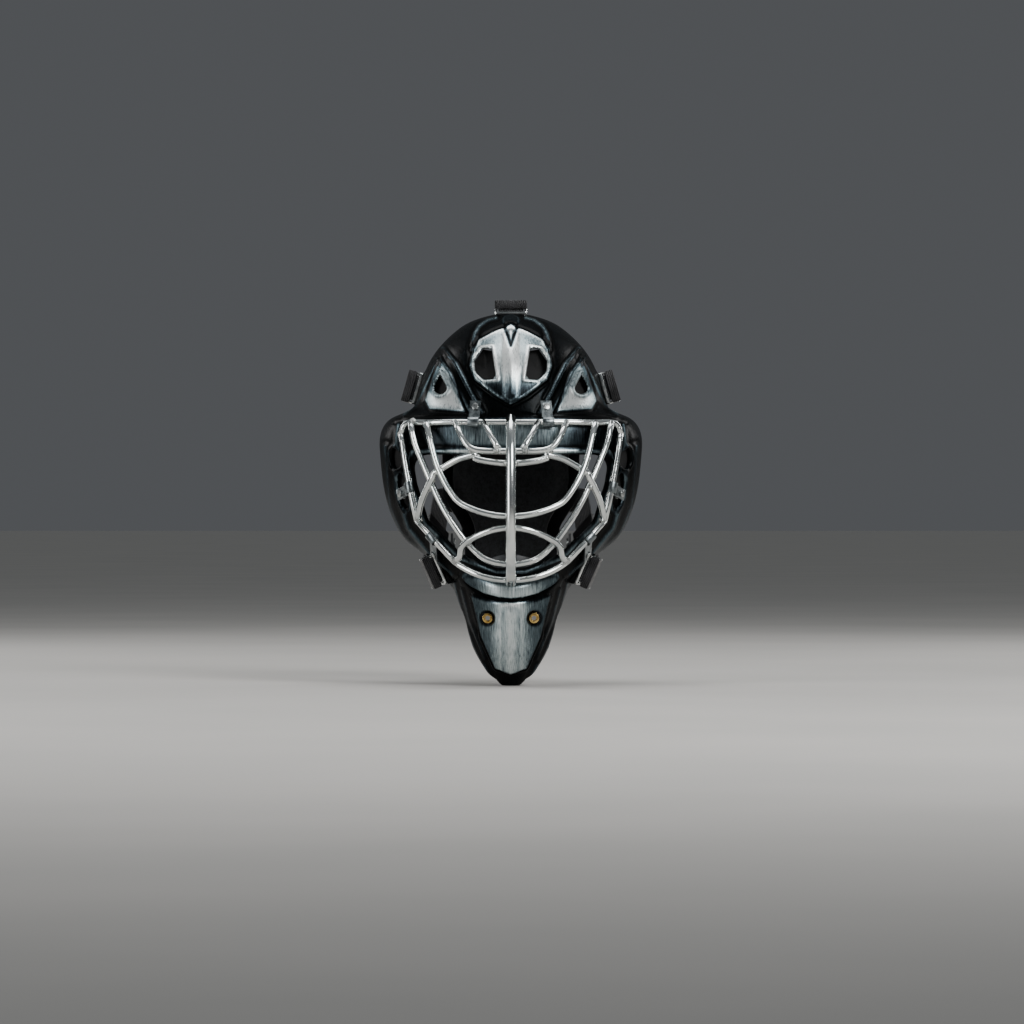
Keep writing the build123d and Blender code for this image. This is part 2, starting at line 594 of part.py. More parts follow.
crest = form(-CREST_RISE) & front_prism(crest_outline, -2 * FACE_REACH, -5)
chin_panel = form(-CREST_RISE / 2) & front_prism(chin_outline, -2 * FACE_REACH, CHIN_BACK)
shell = (outer & side_prism(shell_side)) + [crest, chin_panel, *clip_bosses, *cage_bosses]
shell = (shell - inner) + both_sides(insert_boss) + both_sides(stud_boss & outer)
cuts = vent_cuts + clip_holes + cage_holes + both_sides(insert_hole) + both_sides(stud_hole)
shell -= [front_prism(face_outline, -2 * FACE_REACH, -20), *cuts, *clip_flats, *cage_flats]
save("shell", shell)

# ---------------------------------------------------------------- pads
FIRST = WALL + SOFT_GAP
# Each pad as seen from its own side: middle across, middle up, width, height, corner radius.
FOREHEAD_PAD_FACE = (0, 53, 98, 48, 14)
SWEATBAND_FACE = (0, 45, 94, 26, 8)
CROWN_PAD_FACE = (0, -6, 96, 62, 20)
TEMPLE_PAD_FACE = (-26, 40, 62, 50, 14)
JAW_PAD_FACE = (-30, -42, 58, 48, 16)
FOREHEAD_PAD_BACK = -40     # the forehead pads' blocks stop ahead of this depth
CROWN_PAD_FROM = 60         # the crown pad's block starts at this height


def layered(block, near, thick):
    """The part of a block in a skin of the form, between two depths inside its surface."""
    return (form(near) & block) - form(near + thick)


def pad_face(middle_across, middle_up, width, height, corner):
    return Pos(middle_across, middle_up) * RectangleRounded(width, height, corner)


forehead_block = front_prism(pad_face(*FOREHEAD_PAD_FACE), -2 * FACE_REACH, FOREHEAD_PAD_BACK)
save("forehead_pad", layered(forehead_block, FIRST, FOREHEAD_PAD_THICK))
band_from = FIRST + FOREHEAD_PAD_THICK + SOFT_GAP
band_block = front_prism(pad_face(*SWEATBAND_FACE), -2 * FACE_REACH, FOREHEAD_PAD_BACK)
save("sweatband", layered(band_block, band_from, SWEATBAND_THICK))
crown_block = extrude(Plane.XY.offset(CROWN_PAD_FROM) * pad_face(*CROWN_PAD_FACE), CROWN_HEIGHT)
save("crown_pad", layered(crown_block, FIRST, CROWN_PAD_THICK))
side_pads = (("temple", TEMPLE_PAD_FACE, TEMPLE_PAD_THICK), ("jaw", JAW_PAD_FACE, JAW_PAD_THICK))
for name, outline, thick in side_pads:
    block = extrude(Plane.YZ * pad_face(*outline), 2 * EAR_HALF_WIDTH)
    for side, piece in zip(("left", "right"), both_sides(layered(block, FIRST, thick))):
        save(f"{name}_pad_{side}", piece)

# ---------------------------------------------------------------- backplate
BACK_OUTLINE = [(0, 99), (32, 97), (56, 74), (61, 22), (60, -22), (44, -47), (39, -88), (0, -90)]
BACK_CORNER = 13.0
BACK_SLOT = (8.0, 34.0)
BACK_SLOT_X = 23.0
BACK_SLOT_Z = 12.0
LINER_MARGIN = 9.0


def back_block(face):
    """A block behind the head, of a face drawn with x across and z up."""
    return extrude(front_plane(2 * BACK_REACH) * face, 2 * BACK_REACH - 20)


plate_face = rounded(mirrored_outline(BACK_OUTLINE), BACK_CORNER)
plate = (back_outer - back_form(BACK_WALL)) & back_block(plate_face)
slots = [Pos(x, BACK_SLOT_Z) * SlotCenterToCenter(BACK_SLOT[1], BACK_SLOT[0], rotation=90)
         for x in (-BACK_SLOT_X, 0, BACK_SLOT_X)]
plate -= [back_block(slot) for slot in slots]
liner_outer = BACK_WALL + SOFT_GAP
liner = back_form(liner_outer) - back_form(liner_outer + LINER_THICK)
liner &= back_block(offset(plate_face, -LINER_MARGIN))
save("backplate_liner", liner)

# ---------------------------------------------------------------- straps
RIVET_RADIUS = 1.8
RIVET_HEAD = 4.0
RIVET_HEAD_THICK = 1.2
SLIDER_BAR = 2.0
SLIDER_HALF = 6.0
STRAP_CLEAR = 1.0           # strap's underside above the shell
PLATE_CLEAR = 1.3           # and above the backplate, which curves under its width


def strap(stations):
    """A flat strap through stations of centre, outward normal and direction."""
    sections = []
    for centre, outward, along in stations:
        width = along.cross(outward).normalized() * (STRAP_WIDTH / 2)
        lift = width.cross(along).normalized() * (STRAP_THICK / 2)
        corners = [centre + width + lift, centre - width + lift]
        corners += [centre - width - lift, centre + width - lift]
        sections.append(Wire.make_polygon(corners, close=True))
    return Solid.make_loft(sections, ruled=True)


def directions(centres, normals):
    """Stations whose directions point from each centre's neighbour to the next."""
    stations = []
    for index, centre in enumerate(centres):
        before, after = centres[max(index - 1, 0)], centres[min(index + 1, len(centres) - 1)]
        stations.append((centre, normals[index], (after - before).normalized()))
    return stations


def clip_stations(seat):
    """A strap's place in its clip, from its free tail to behind the pin."""
    level = STRAP_LEVEL + STRAP_THICK / 2
    along = (-CLIP_DEPTH / 2 + 2, CLIP_DEPTH / 2 + 3)
    return [(seat.from_local_coords(Vector(0, y, level)), seat.z_dir) for y in along]


def shell_station(start, direction):
    """A strap's place over the shell."""
    hit, normal = last_hit(outer, start, direction)
    return hit + normal * (STRAP_CLEAR + STRAP_THICK / 2), normal


def plate_station(turn_deg, height):
    """A strap's place on the backplate, at an angle from straight behind."""
    turn = math.radians(turn_deg)
    hit, normal = last_hit(back_outer, (0, BACK_MIDDLE, height), (math.sin(turn), math.cos(turn), 0))
    return hit + normal * (PLATE_CLEAR + STRAP_THICK / 2), normal


def rivet_through(station):
    """A rivet through a strap and the backplate, and the clearance hole that it needs."""
    centre, normal = station
    seat = Plane(origin=centre, z_dir=normal)
    under = -STRAP_THICK / 2 - PLATE_CLEAR - BACK_WALL
    top = STRAP_THICK / 2 + SOFT_GAP
    rivet = post(RIVET_RADIUS, under, top) + post(RIVET_HEAD, top, top + RIVET_HEAD_THICK)
    return seat.location * rivet, seat.location * post(RIVET_RADIUS + 0.1, under - 8, top + 2)


def slider(station):
    """A three-bar slider round a strap: a flat frame with two windows over the strap."""
    centre, normal, along = station
    across = along.cross(normal)
    seat = Plane(origin=centre, x_dir=across, z_dir=across.cross(along))
    half = STRAP_WIDTH / 2 + SLIDER_BAR + SOFT_GAP
    low, high = -STRAP_THICK / 2 - SOFT_GAP, STRAP_THICK / 2 + SOFT_GAP
    window = STRAP_WIDTH / 2 + SOFT_GAP
    frame = box((-half, half), (-SLIDER_HALF, SLIDER_HALF), (low - 1.4, high + 1.8))
    frame -= box((-window, window), (-SLIDER_HALF - 1, SLIDER_HALF + 1), (low, high))
    for y in (-2.7, 2.7):
        frame -= box((-window + 0.5, window - 0.5), (y - 1.6, y + 1.6), (high - 1, high + 3))
    return seat.location * frame


def route(seat, over_shell, over_plate):
    """A strap's stations from its clip, over the shell and across to the backplate.

    It has a flat stretch midway.
    """
    left, landed = over_shell[-1], over_plate[0]
    normal = (left[1] + landed[1]).normalized()
    midway = [(left[0] + (landed[0] - left[0]) * share, normal) for share in FLAT_STRETCH]
    places = clip_stations(seat) + over_shell + midway + over_plate
    stations = directions([place[0] for place in places], [place[1] for place in places])
    flat = (midway[1][0] - midway[0][0]).normalized()
    first = -len(over_plate) - len(midway)
    for index in (first, first + 1):
        stations[index] = (stations[index][0], normal, flat)
    return stations


FLAT_STRETCH = (0.22, 0.78)     # shares of the free span between which a strap has no twist, for its slider
SLIDER_SHARE = 0.6              # share of that stretch at which the slider sits, clear of the shell's edge
upper_shell = [shell_station((0, y, z), (1, 0, 0)) for y, z in ((22, 75), (37, 76), (50, 76))]
upper_plate = [plate_station(turn, 60) for turn in (42, 34, 26)]
lower_shell = [shell_station((0, y, z), (1, 0, 0)) for y, z in ((-30, -84), (-18, -82), (-6, -79))]
lower_plate = [plate_station(turn, -24) for turn in (42, 34, 26)]
top_shell = [shell_station((0, y, 40), (0, slope, 1)) for y, slope in ((10, 0.05), (14, 0.09), (18, 0.13))]
top_plate = [plate_station(0, height) for height in (101, 91, 80)]
routes = {
    "upper_strap": route(UPPER_SEAT, upper_shell, upper_plate),
    "lower_strap": route(LOWER_SEAT, lower_shell, lower_plate),
    "top_strap": route(TOP_SEAT, top_shell, top_plate),
}
rivets, sliders = [], []
for name, stations in routes.items():
    rivet, hole = rivet_through(stations[-2][:2])
    piece = strap(stations) - hole
    before, after = stations[-5], stations[-4]
    frame = slider((before[0] + (after[0] - before[0]) * SLIDER_SHARE, before[1], before[2]))
    if name == "top_strap":
        save(name, piece)
        rivets.append(rivet)
        sliders.append(frame)
        plate -= hole
        continue
    for side, half_strap in zip(("left", "right"), both_sides(piece)):
        save(f"{name}_{side}", half_strap)
    rivets += both_sides(rivet)
    sliders += both_sides(frame)
    plate -= both_sides(hole)
save("backplate", plate)
save("strap_rivets", *rivets)
save("strap_sliders", *sliders)

# ---------------------------------------------------------------- chin cup
CUP_RADIUS = 34.0
CUP_WALL = 3.0
CUP_PAD_THICK = 6.0
CUP_FROM = 14.0             # from the ball's centre out to the cup's rim
CUP_Y = STUD_Y + 14.0
CUP_Z = STUD_Z - 20.0
CHIN_STRAP_WIDTH = 12.0
CHIN_STRAP_THICK = 2.0


def ball_cap(radius, thick, rim):
    """The skin of a ball beyond a flat rim, centred on its own axis."""
    skin = Sphere(radius) - Sphere(radius - thick)
    return skin & Pos(0, 0, rim + radius) * Box(3 * radius, 3 * radius, 2 * radius)


cup_seat = Plane(origin=(0, CUP_Y, CUP_Z), x_dir=(1, 0, 0), z_dir=(0, -1, -1))
save("chin_cup_pad", cup_seat.location * ball_cap(CUP_RADIUS - CUP_WALL - SOFT_GAP, CUP_PAD_THICK, CUP_FROM))
cup = cup_seat.location * ball_cap(CUP_RADIUS, CUP_WALL, CUP_FROM)
strap_x = STUD_INNER - EYELET_GAP - EYELET_THICK
strip_line = [(strap_x, STUD_Z + 9), (strap_x, STUD_Z - 9), (38, CUP_Z - 8), (30, CUP_Z - 12)]
outer_line = [(x + CHIN_STRAP_THICK, z) for x, z in strip_line[:2]]
outer_line += [(x + 1.6, z - 1.3) for x, z in strip_line[2:]]
strip_face = make_face(Polyline(*strip_line, *reversed(outer_line), close=True))
half_width = CHIN_STRAP_WIDTH / 2
strip_plane = Plane(origin=(0, STUD_Y + half_width, 0), x_dir=(1, 0, 0), z_dir=(0, -1, 0))
strip = extrude(strip_plane * strip_face, CHIN_STRAP_WIDTH)
strip -= stud_seat.location * post(STUD_RADIUS + STUD_FIT, 0, 100)
strip -= cup_seat.location * Sphere(CUP_RADIUS + SOFT_GAP)
save("chin_cup", cup)
for side, piece in zip(("left", "right"), both_sides(strip)):
    save(f"chin_strap_{side}", piece)
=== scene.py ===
"""Goalie mask: the looks of its shell, cage, clips, straps, backplate and padding."""

import json
import math

import bpy
import numpy as np
from mathutils import Matrix, Vector
from mathutils.bvhtree import BVHTree
from mathutils.kdtree import KDTree


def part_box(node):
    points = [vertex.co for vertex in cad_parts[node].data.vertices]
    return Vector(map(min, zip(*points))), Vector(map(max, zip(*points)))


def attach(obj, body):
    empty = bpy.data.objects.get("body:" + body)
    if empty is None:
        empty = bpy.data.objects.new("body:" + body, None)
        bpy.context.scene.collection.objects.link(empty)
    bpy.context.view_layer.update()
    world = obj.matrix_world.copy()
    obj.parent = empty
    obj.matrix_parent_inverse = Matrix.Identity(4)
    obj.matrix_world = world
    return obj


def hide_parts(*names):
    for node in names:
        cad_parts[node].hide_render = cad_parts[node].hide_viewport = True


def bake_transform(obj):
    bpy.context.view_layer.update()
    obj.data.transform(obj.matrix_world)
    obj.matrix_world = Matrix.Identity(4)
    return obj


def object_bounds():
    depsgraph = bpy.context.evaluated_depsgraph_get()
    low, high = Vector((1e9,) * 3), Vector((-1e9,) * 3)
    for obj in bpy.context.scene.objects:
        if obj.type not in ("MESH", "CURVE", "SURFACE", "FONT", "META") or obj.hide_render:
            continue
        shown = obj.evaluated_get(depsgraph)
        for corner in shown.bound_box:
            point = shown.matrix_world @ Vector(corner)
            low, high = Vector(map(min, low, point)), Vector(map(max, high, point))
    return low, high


MM = 0.001

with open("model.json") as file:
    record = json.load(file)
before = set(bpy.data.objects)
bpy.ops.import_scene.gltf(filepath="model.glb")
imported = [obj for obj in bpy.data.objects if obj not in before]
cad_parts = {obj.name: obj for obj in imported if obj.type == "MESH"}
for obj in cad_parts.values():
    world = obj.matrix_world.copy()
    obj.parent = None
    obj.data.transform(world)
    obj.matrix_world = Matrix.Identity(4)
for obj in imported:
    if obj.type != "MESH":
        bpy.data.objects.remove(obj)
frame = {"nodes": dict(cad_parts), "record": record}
cad_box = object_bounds()


# ---------------------------------------------------------------- bench tools
def pick(*pieces):
    """Only these pieces are selected, and the first is the active one."""
    bpy.ops.object.select_all(action="DESELECT")
    for piece in pieces:
        piece.select_set(True)
    bpy.context.view_layer.objects.active = pieces[0]


def work(piece, kind, **settings):
    """One modifier, set up and applied."""
    modifier = piece.modifiers.new(kind.lower(), kind)
    for name, value in settings.items():
        setattr(modifier, name, value)
    pick(piece)
    bpy.ops.object.modifier_apply(modifier=modifier.name)


def merge_points(piece, reach=0.01 * MM):
    pick(piece)
    bpy.ops.object.mode_set(mode="EDIT")
    bpy.ops.mesh.select_all(action="SELECT")
    bpy.ops.mesh.remove_doubles(threshold=reach)
    bpy.ops.object.mode_set(mode="OBJECT")


def cast_of(name, *nodes):
    """A piece of its own with the shape of some frame nodes, whose faces are sewn together."""
    copies = []
    for node in nodes:
        copy = frame["nodes"][node].copy()
        copy.data = frame["nodes"][node].data.copy()
        copy.parent = None
        copy.matrix_world = Matrix.Identity(4)
        for key in list(copy.keys()):
            if key.startswith("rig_"):
                del copy[key]
        bpy.context.scene.collection.objects.link(copy)
        copies.append(copy)
    pick(*copies)
    if len(copies) > 1:
        bpy.ops.object.join()
    piece = copies[0]
    piece.name = piece.data.name = name
    piece.data.materials.clear()
    merge_points(piece)
    return piece


def join(name, pieces):
    pick(*pieces)
    if len(pieces) > 1:
        bpy.ops.object.join()
    pieces[0].name = pieces[0].data.name = name
    return pieces[0]


def lay_run(piece, places):
    """A UV map in metres, with a place for each corner of each face."""
    layer = piece.data.uv_layers.active or piece.data.uv_layers.new(name="run")
    layer.name = "run"
    layer.data.foreach_set("uv", places.ravel())


def corners_of(piece):
    """The point that each corner of each face is at."""
    corners = np.zeros(len(piece.data.loops), int)
    piece.data.loops.foreach_get("vertex_index", corners)
    return corners


def lay_in_place(piece):
    """The piece's place, turn and size go into its mesh, and its object stays at the origin."""
    pick(piece)
    bpy.ops.object.transform_apply(location=True, rotation=True, scale=True)


def smooth_faces(piece, sharp_deg=40):
    pick(piece)
    bpy.ops.object.shade_smooth_by_angle(angle=math.radians(sharp_deg))


def points_of(piece):
    flat = np.zeros(len(piece.data.vertices) * 3)
    piece.data.vertices.foreach_get("co", flat)
    return flat.reshape(-1, 3)


def normals_of(piece):
    flat = np.zeros(len(piece.data.vertices) * 3)
    piece.data.vertex_normals.foreach_get("vector", flat)
    return flat.reshape(-1, 3)


def move_points(piece, places):
    piece.data.vertices.foreach_set("co", places.ravel())
    piece.data.update()


def tree_of(places):
    """The places, ready to be asked which is nearest."""
    tree = KDTree(len(places))
    for index, place in enumerate(places):
        tree.insert(place, index)
    tree.balance()
    return tree


def keep_value(piece, name, values):
    """A number kept at each point, for a material to read."""
    layer = piece.data.attributes.new(name, "FLOAT", "POINT")
    layer.data.foreach_set("value", values.astype(np.float32))


def dress(piece, material, slot, body, *nodes):
    """A finished piece gets its material, the body it moves with and the nodes it stands for, which are hidden; its
    slot is not used.
    """
    piece.data.materials.clear()
    piece.data.materials.append(material)
    if nodes:
        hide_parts(*nodes)
    if body:
        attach(piece, body)
    return piece


# ---------------------------------------------------------------- material tools
def colour(code):
    """An sRGB hex colour as the linear one that shaders take."""
    parts = [int(code[i:i + 2], 16) / 255 for i in (1, 3, 5)]
    return tuple(c / 12.92 if c <= 0.04045 else ((c + 0.055) / 1.055) ** 2.4 for c in parts) + (1.0,)


def new_material(name):
    material = bpy.data.materials.new(name)
    material.use_nodes = True
    return material, material.node_tree.nodes["Principled BSDF"]


def add_node(material, kind, inputs=None, **settings):
    """One node with its settings, its sockets' values and what is linked into them."""
    node = material.node_tree.nodes.new(kind)
    for name, value in settings.items():
        setattr(node, name, value)
    for key, value in (inputs or {}).items():
        if isinstance(value, bpy.types.NodeSocket):
            material.node_tree.links.new(value, node.inputs[key])
        else:
            node.inputs[key].default_value = value
    return node


def set_shader(material, shader, **sockets):
    """Numbers, colours and links on the shader's sockets, with underscores for spaces."""
    for name, value in sockets.items():
        socket = shader.inputs[name.replace("_", " ")]
        if isinstance(value, bpy.types.NodeSocket):
            material.node_tree.links.new(value, socket)
        else:
            socket.default_value = value


def bumped(material, height, strength, depth_mm):
    """A normal raised and lowered by a pattern."""
    node = add_node(material, "ShaderNodeBump", {"Height": height, "Strength": strength, "Distance": depth_mm * MM})
    return node.outputs[0]


def spread(material, value, low, high):
    """A noise value's usual range, 0.3 to 0.7, stretched from low to high."""
    ends = {"From Min": 0.3, "From Max": 0.7, "To Min": low, "To Max": high}
    return add_node(material, "ShaderNodeMapRange", {"Value": value, **ends}).outputs[0]


def plus_share(material, value, share, base):
    """Value times share, added to base."""
    return add_node(material, "ShaderNodeMath", {0: value, 1: share, 2: base}, operation="MULTIPLY_ADD").outputs[0]


def ramp(material, factor, *stops):
    """A colour ramp through (place, hex colour) stops."""
    node = add_node(material, "ShaderNodeValToRGB", {"Fac": factor})
    stops = sorted(stops)
    while len(node.color_ramp.elements) < len(stops):
        node.color_ramp.elements.new(0.5)
    for element, (place, code) in zip(node.color_ramp.elements, stops):
        element.position = place
        element.color = colour(code)
    return node.outputs["Color"]


# ---------------------------------------------------------------- materials
def gunmetal_paint():
    # Satin gunmetal metallic paint on a moulded fibreglass shell, hand brushed: soft metallic glow, fine strokes
    # down the panels.
    # Its colour also holds painted highlights on the raised ridges and near-black painted shade in the grooves.
    material, shader = new_material("satin gunmetal paint")
    place = add_node(material, "ShaderNodeTexCoord").outputs["Object"]
    tone_and_painted_light = add_node(material, "ShaderNodeAttribute", attribute_name="tone_and_painted_light").outputs["Fac"]
    # Brush strokes are about 0.8 mm wide and 12 mm long; finer ones would not show.
    strokes_place = add_node(material, "ShaderNodeMapping", {"Vector": place, "Scale": (1250, 420, 85)})
    strokes = add_node(material, "ShaderNodeTexNoise",
                       {"Vector": strokes_place.outputs[0], "Scale": 1.0, "Detail": 5.0, "Roughness": 0.62})
    # Cloudy patches about 25 mm across, as airbrushed paint has.
    clouds = add_node(material, "ShaderNodeTexNoise", {"Vector": place, "Scale": 40.0, "Detail": 3.0})
    # Metal flake about 0.4 mm across, as coarse as it needs to show.
    flakes = add_node(material, "ShaderNodeTexVoronoi", {"Vector": place, "Scale": 2400.0}, feature="F1")
    uneven = add_node(material, "ShaderNodeMath", {0: strokes.outputs["Fac"], 1: -0.5}, operation="ADD")
    stroked = plus_share(material, uneven.outputs[0], 0.55, tone_and_painted_light)
    cloudy = plus_share(material, clouds.outputs["Fac"], 0.18, stroked)
    flaked = plus_share(material, flakes.outputs["Distance"], -0.10, cloudy)
    shade = ramp(material, flaked, (0.02, "#020303"), (0.18, "#0a0d0f"), (0.34, "#242c31"),
                 (0.52, "#5a676c"), (0.70, "#a9b6b8"), (0.92, "#f2f6f4"))
    rough = spread(material, strokes.outputs["Fac"], 0.24, 0.42)
    # The tint dims what the dark paint mirrors at a slant.
    set_shader(material, shader, Base_Color=shade, Metallic=0.85, Roughness=rough, Coat_Weight=0.05,
               Coat_Roughness=0.25, Specular_Tint=colour("#8d9396"),
               Normal=bumped(material, strokes.outputs["Fac"], 0.22, 0.4))
    return material


def polished_steel():
    # Polished stainless steel rod: bright mirror highlights along the length, faint drawing marks round the rod.
    material, shader = new_material("polished stainless rod")
    place = add_node(material, "ShaderNodeTexCoord").outputs["Object"]
    # Polishing marks about 0.5 mm apart.
    marks = add_node(material, "ShaderNodeTexNoise", {"Vector": place, "Scale": 1800.0, "Detail": 4.0})
    stains = add_node(material, "ShaderNodeTexNoise", {"Vector": place, "Scale": 55.0, "Detail": 3.0})
    shade = ramp(material, stains.outputs["Fac"], (0.30, "#c4cbcb"), (0.50, "#e6eae8"), (0.72, "#f4f6f4"))
    rough = spread(material, marks.outputs["Fac"], 0.10, 0.24)
    set_shader(material, shader, Base_Color=shade, Metallic=1.0, Roughness=rough,
               Normal=bumped(material, marks.outputs["Fac"], 0.06, 0.1))
    return material


def weld_metal():
    # Ground TIG weld: duller than the rod, rippled, with a straw and blue heat tint kept faint.
    material, shader = new_material("ground weld steel")
    place = add_node(material, "ShaderNodeTexCoord").outputs["Object"]
    ripples = add_node(material, "ShaderNodeTexNoise", {"Vector": place, "Scale": 900.0, "Detail": 3.0})
    shade = ramp(material, ripples.outputs["Fac"], (0.30, "#7f8488"), (0.55, "#b3b5b2"), (0.75, "#cfccc2"))
    set_shader(material, shader, Base_Color=shade, Metallic=1.0, Roughness=0.33,
               Normal=bumped(material, ripples.outputs["Fac"], 0.4, 0.3))
    return material


def pressed_steel(name, light, dark, rough_from, rough_to):
    # Pressed sheet metal, tumbled and polished: brushed grain about 0.3 mm wide and scratches here and there.
    material, shader = new_material(name)
    place = add_node(material, "ShaderNodeTexCoord").outputs["Object"]
    grain_place = add_node(material, "ShaderNodeMapping", {"Vector": place, "Scale": (3000, 3000, 220)})
    grain = add_node(material, "ShaderNodeTexNoise", {"Vector": grain_place.outputs[0], "Scale": 1.0, "Detail": 3.0})
    wear = add_node(material, "ShaderNodeTexNoise", {"Vector": place, "Scale": 160.0, "Detail": 5.0})
    shade = ramp(material, wear.outputs["Fac"], (0.35, dark), (0.62, light))
    rough = spread(material, grain.outputs["Fac"], rough_from, rough_to)
    set_shader(material, shader, Base_Color=shade, Metallic=1.0, Roughness=rough,
               Normal=bumped(material, grain.outputs["Fac"], 0.08, 0.1))
    return material


def moulded_plastic(name, light, dark, grain_mm, gloss):
    # Injection-moulded nylon or polyethylene: spark-eroded grain in the mould, patches rubbed a little paler here
    # and there.
    material, shader = new_material(name)
    place = add_node(material, "ShaderNodeTexCoord").outputs["Object"]
    grain = add_node(material, "ShaderNodeTexNoise", {"Vector": place, "Scale": 1000 / grain_mm, "Detail": 2.0})
    handling = add_node(material, "ShaderNodeTexNoise", {"Vector": place, "Scale": 70.0, "Detail": 5.0})
    shade = ramp(material, handling.outputs["Fac"], (0.35, dark), (0.68, light))
    rough = spread(material, handling.outputs["Fac"], gloss, gloss + 0.16)
    set_shader(material, shader, Base_Color=shade, Roughness=rough, IOR=1.53,
               Normal=bumped(material, grain.outputs["Fac"], 0.35, 0.2))
    return material


def knit_cloth(name, light, dark, cell_mm, sheen):
    # Brushed polyester knit over closed-cell foam: small cells of yarn, soft sheen, slight unevenness.
    material, shader = new_material(name)
    place = add_node(material, "ShaderNodeTexCoord").outputs["Object"]
    cells = add_node(material, "ShaderNodeTexVoronoi", {"Vector": place, "Scale": 1000 / cell_mm}, feature="F1")
    fuzz = add_node(material, "ShaderNodeTexNoise", {"Vector": place, "Scale": 260.0, "Detail": 6.0})
    both = plus_share(material, cells.outputs["Distance"], 0.45, fuzz.outputs["Fac"])
    # The knit is darkened along a pad's sewn channel: painted shade in the seam's crease.
    seam = add_node(material, "ShaderNodeAttribute", attribute_name="seam").outputs["Fac"]
    seamed = plus_share(material, seam, -0.25, both)
    shade = ramp(material, seamed, (0.40, dark), (0.85, light))
    set_shader(material, shader, Base_Color=shade, Roughness=0.86, Sheen_Weight=sheen, Sheen_Roughness=0.45,
               Normal=bumped(material, both, 0.5, 0.5))
    return material


WEFT_MM = 1.1


def woven_webbing(name, light, dark, ribs_mm, rib_strength):
    # Woven elastic or nylon webbing: ribs along the strap and a fine weft across, matt with a little sheen.
    # The UV map runs in metres: x across the strap, y along it.
    material, shader = new_material(name)
    run = add_node(material, "ShaderNodeUVMap", uv_map="run").outputs[0]
    # A wave texture repeats every pi / 10 over its scale.
    ribs = add_node(material, "ShaderNodeTexWave",
                    {"Vector": run, "Scale": math.pi / 10 / (ribs_mm * MM), "Distortion": 0.0},
                    wave_type="BANDS", bands_direction="X")
    weft = add_node(material, "ShaderNodeTexWave",
                    {"Vector": run, "Scale": math.pi / 10 / (WEFT_MM * MM), "Distortion": 0.6},
                    wave_type="BANDS", bands_direction="Y")
    fibres = add_node(material, "ShaderNodeTexNoise", {"Vector": run, "Scale": 900.0, "Detail": 4.0})
    woven = plus_share(material, weft.outputs["Fac"], 0.4, ribs.outputs["Fac"])
    rough_woven = plus_share(material, fibres.outputs["Fac"], 0.5, woven)
    shade = ramp(material, rough_woven, (0.25, dark), (1.0, light))
    set_shader(material, shader, Base_Color=shade, Roughness=0.78, Sheen_Weight=0.25, Sheen_Roughness=0.4,
               Normal=bumped(material, rough_woven, rib_strength, 0.5))
    return material


GUNMETAL = gunmetal_paint()
ROD_STEEL = polished_steel()
WELD_STEEL = weld_metal()
CLIP_STEEL = pressed_steel("polished stainless sheet", "#eef0ee", "#b4baba", 0.12, 0.28)
TAB_STEEL = pressed_steel("brushed dark stainless", "#8f9698", "#4c5356", 0.24, 0.40)
ZINC_STEEL = pressed_steel("zinc plated steel", "#b9bcba", "#8a8e8e", 0.22, 0.38)
INSERT_BRASS = pressed_steel("turned brass", "#d6b673", "#a98849", 0.18, 0.32)
LEVER_NYLON = moulded_plastic("black ribbed nylon", "#2a2a2d", "#101012", 0.5, 0.34)
PLATE_PLASTIC = moulded_plastic("black moulded polyethylene", "#2b2d30", "#141518", 0.8, 0.42)
CUP_PLASTIC = moulded_plastic("smoke moulded polyethylene", "#34373a", "#1a1c1e", 0.9, 0.38)
PAD_KNIT = knit_cloth("black brushed knit", "#2e3033", "#0c0d0f", 1.3, 0.3)
# The vent gauze is near-black so that it also stands in for the shade inside the air holes: partly painted shade.
SHADE_GAUZE = knit_cloth("black nylon gauze", "#0c0c0d", "#050505", 0.9, 0.0)
BAND_KNIT = knit_cloth("grey towelling knit", "#85888b", "#3f4245", 1.6, 0.7)
STRAP_WEAVE = woven_webbing("black woven elastic", "#36373a", "#0a0a0b", 2.0, 0.75)
CHIN_WEAVE = woven_webbing("black woven nylon", "#2c2d2f", "#0b0b0c", 1.4, 0.5)
THREAD = moulded_plastic("waxed polyester thread", "#c9c7bf", "#8b8a84", 0.3, 0.5)


# ---------------------------------------------------------------- shell
# Lines drawn on the mask's front, in millimetres: across from the middle, and up. Both sides are alike.
CREST_EDGE = [(0, 124.5), (14, 119), (27, 111.8), (31.2, 104), (33.6, 90), (29.8, 78.8), (14, 66), (0, 58)]
FOREHEAD_VENT = [(12.3, 78.4), (16.5, 106.1), (25.2, 104.8), (31.2, 94.9), (30.6, 84.6), (23.3, 77.5),
                 (12.3, 78.4)]
CREST_NOTCH = [(0, 106), (2.5, 115), (5.5, 123.5)]
CROWN_RIDGE = [(12.5, 133), (20, 131), (27, 126), (31, 119), (33.5, 104)]
OUTER_RIDGE = [(59, 107), (47.5, 92.6), (42.7, 83), (34, 66), (25, 50)]
SECOND_RIDGE = [(66, 100), (53, 86), (47, 74), (38, 56), (33, 48)]
SIDE_PANEL = [(60, 101), (50, 84), (38, 50), (70, 52), (75, 61), (67, 84), (60, 101)]
PANEL_FOLD = [(60, 101), (72, 76), (82, 58), (92, 49)]
BROW_FOLD = [(0, 49), (26, 47), (60, 47.5), (84, 47), (100, 42)]
FACE_LIP = [(0, 17), (84, 17), (88, 10), (84, -12), (73.5, -44), (44, -74), (12, -86), (0, -86)]
CHEEK_FOLD = [(96, 40), (99, 12), (97, -18), (88, -48), (70, -70), (50, -88)]
JAW_FOLD = [(108, 22), (104, -30), (92, -58), (68, -82), (54, -100)]
LEDGE_EDGE = [(0, -109), (10, -108), (22, -104.5), (33, -98.5), (42, -91)]
CHIN_PANEL = [(0, -111), (21, -109.5), (35, -104), (26, -142), (14, -169), (0, -173)]
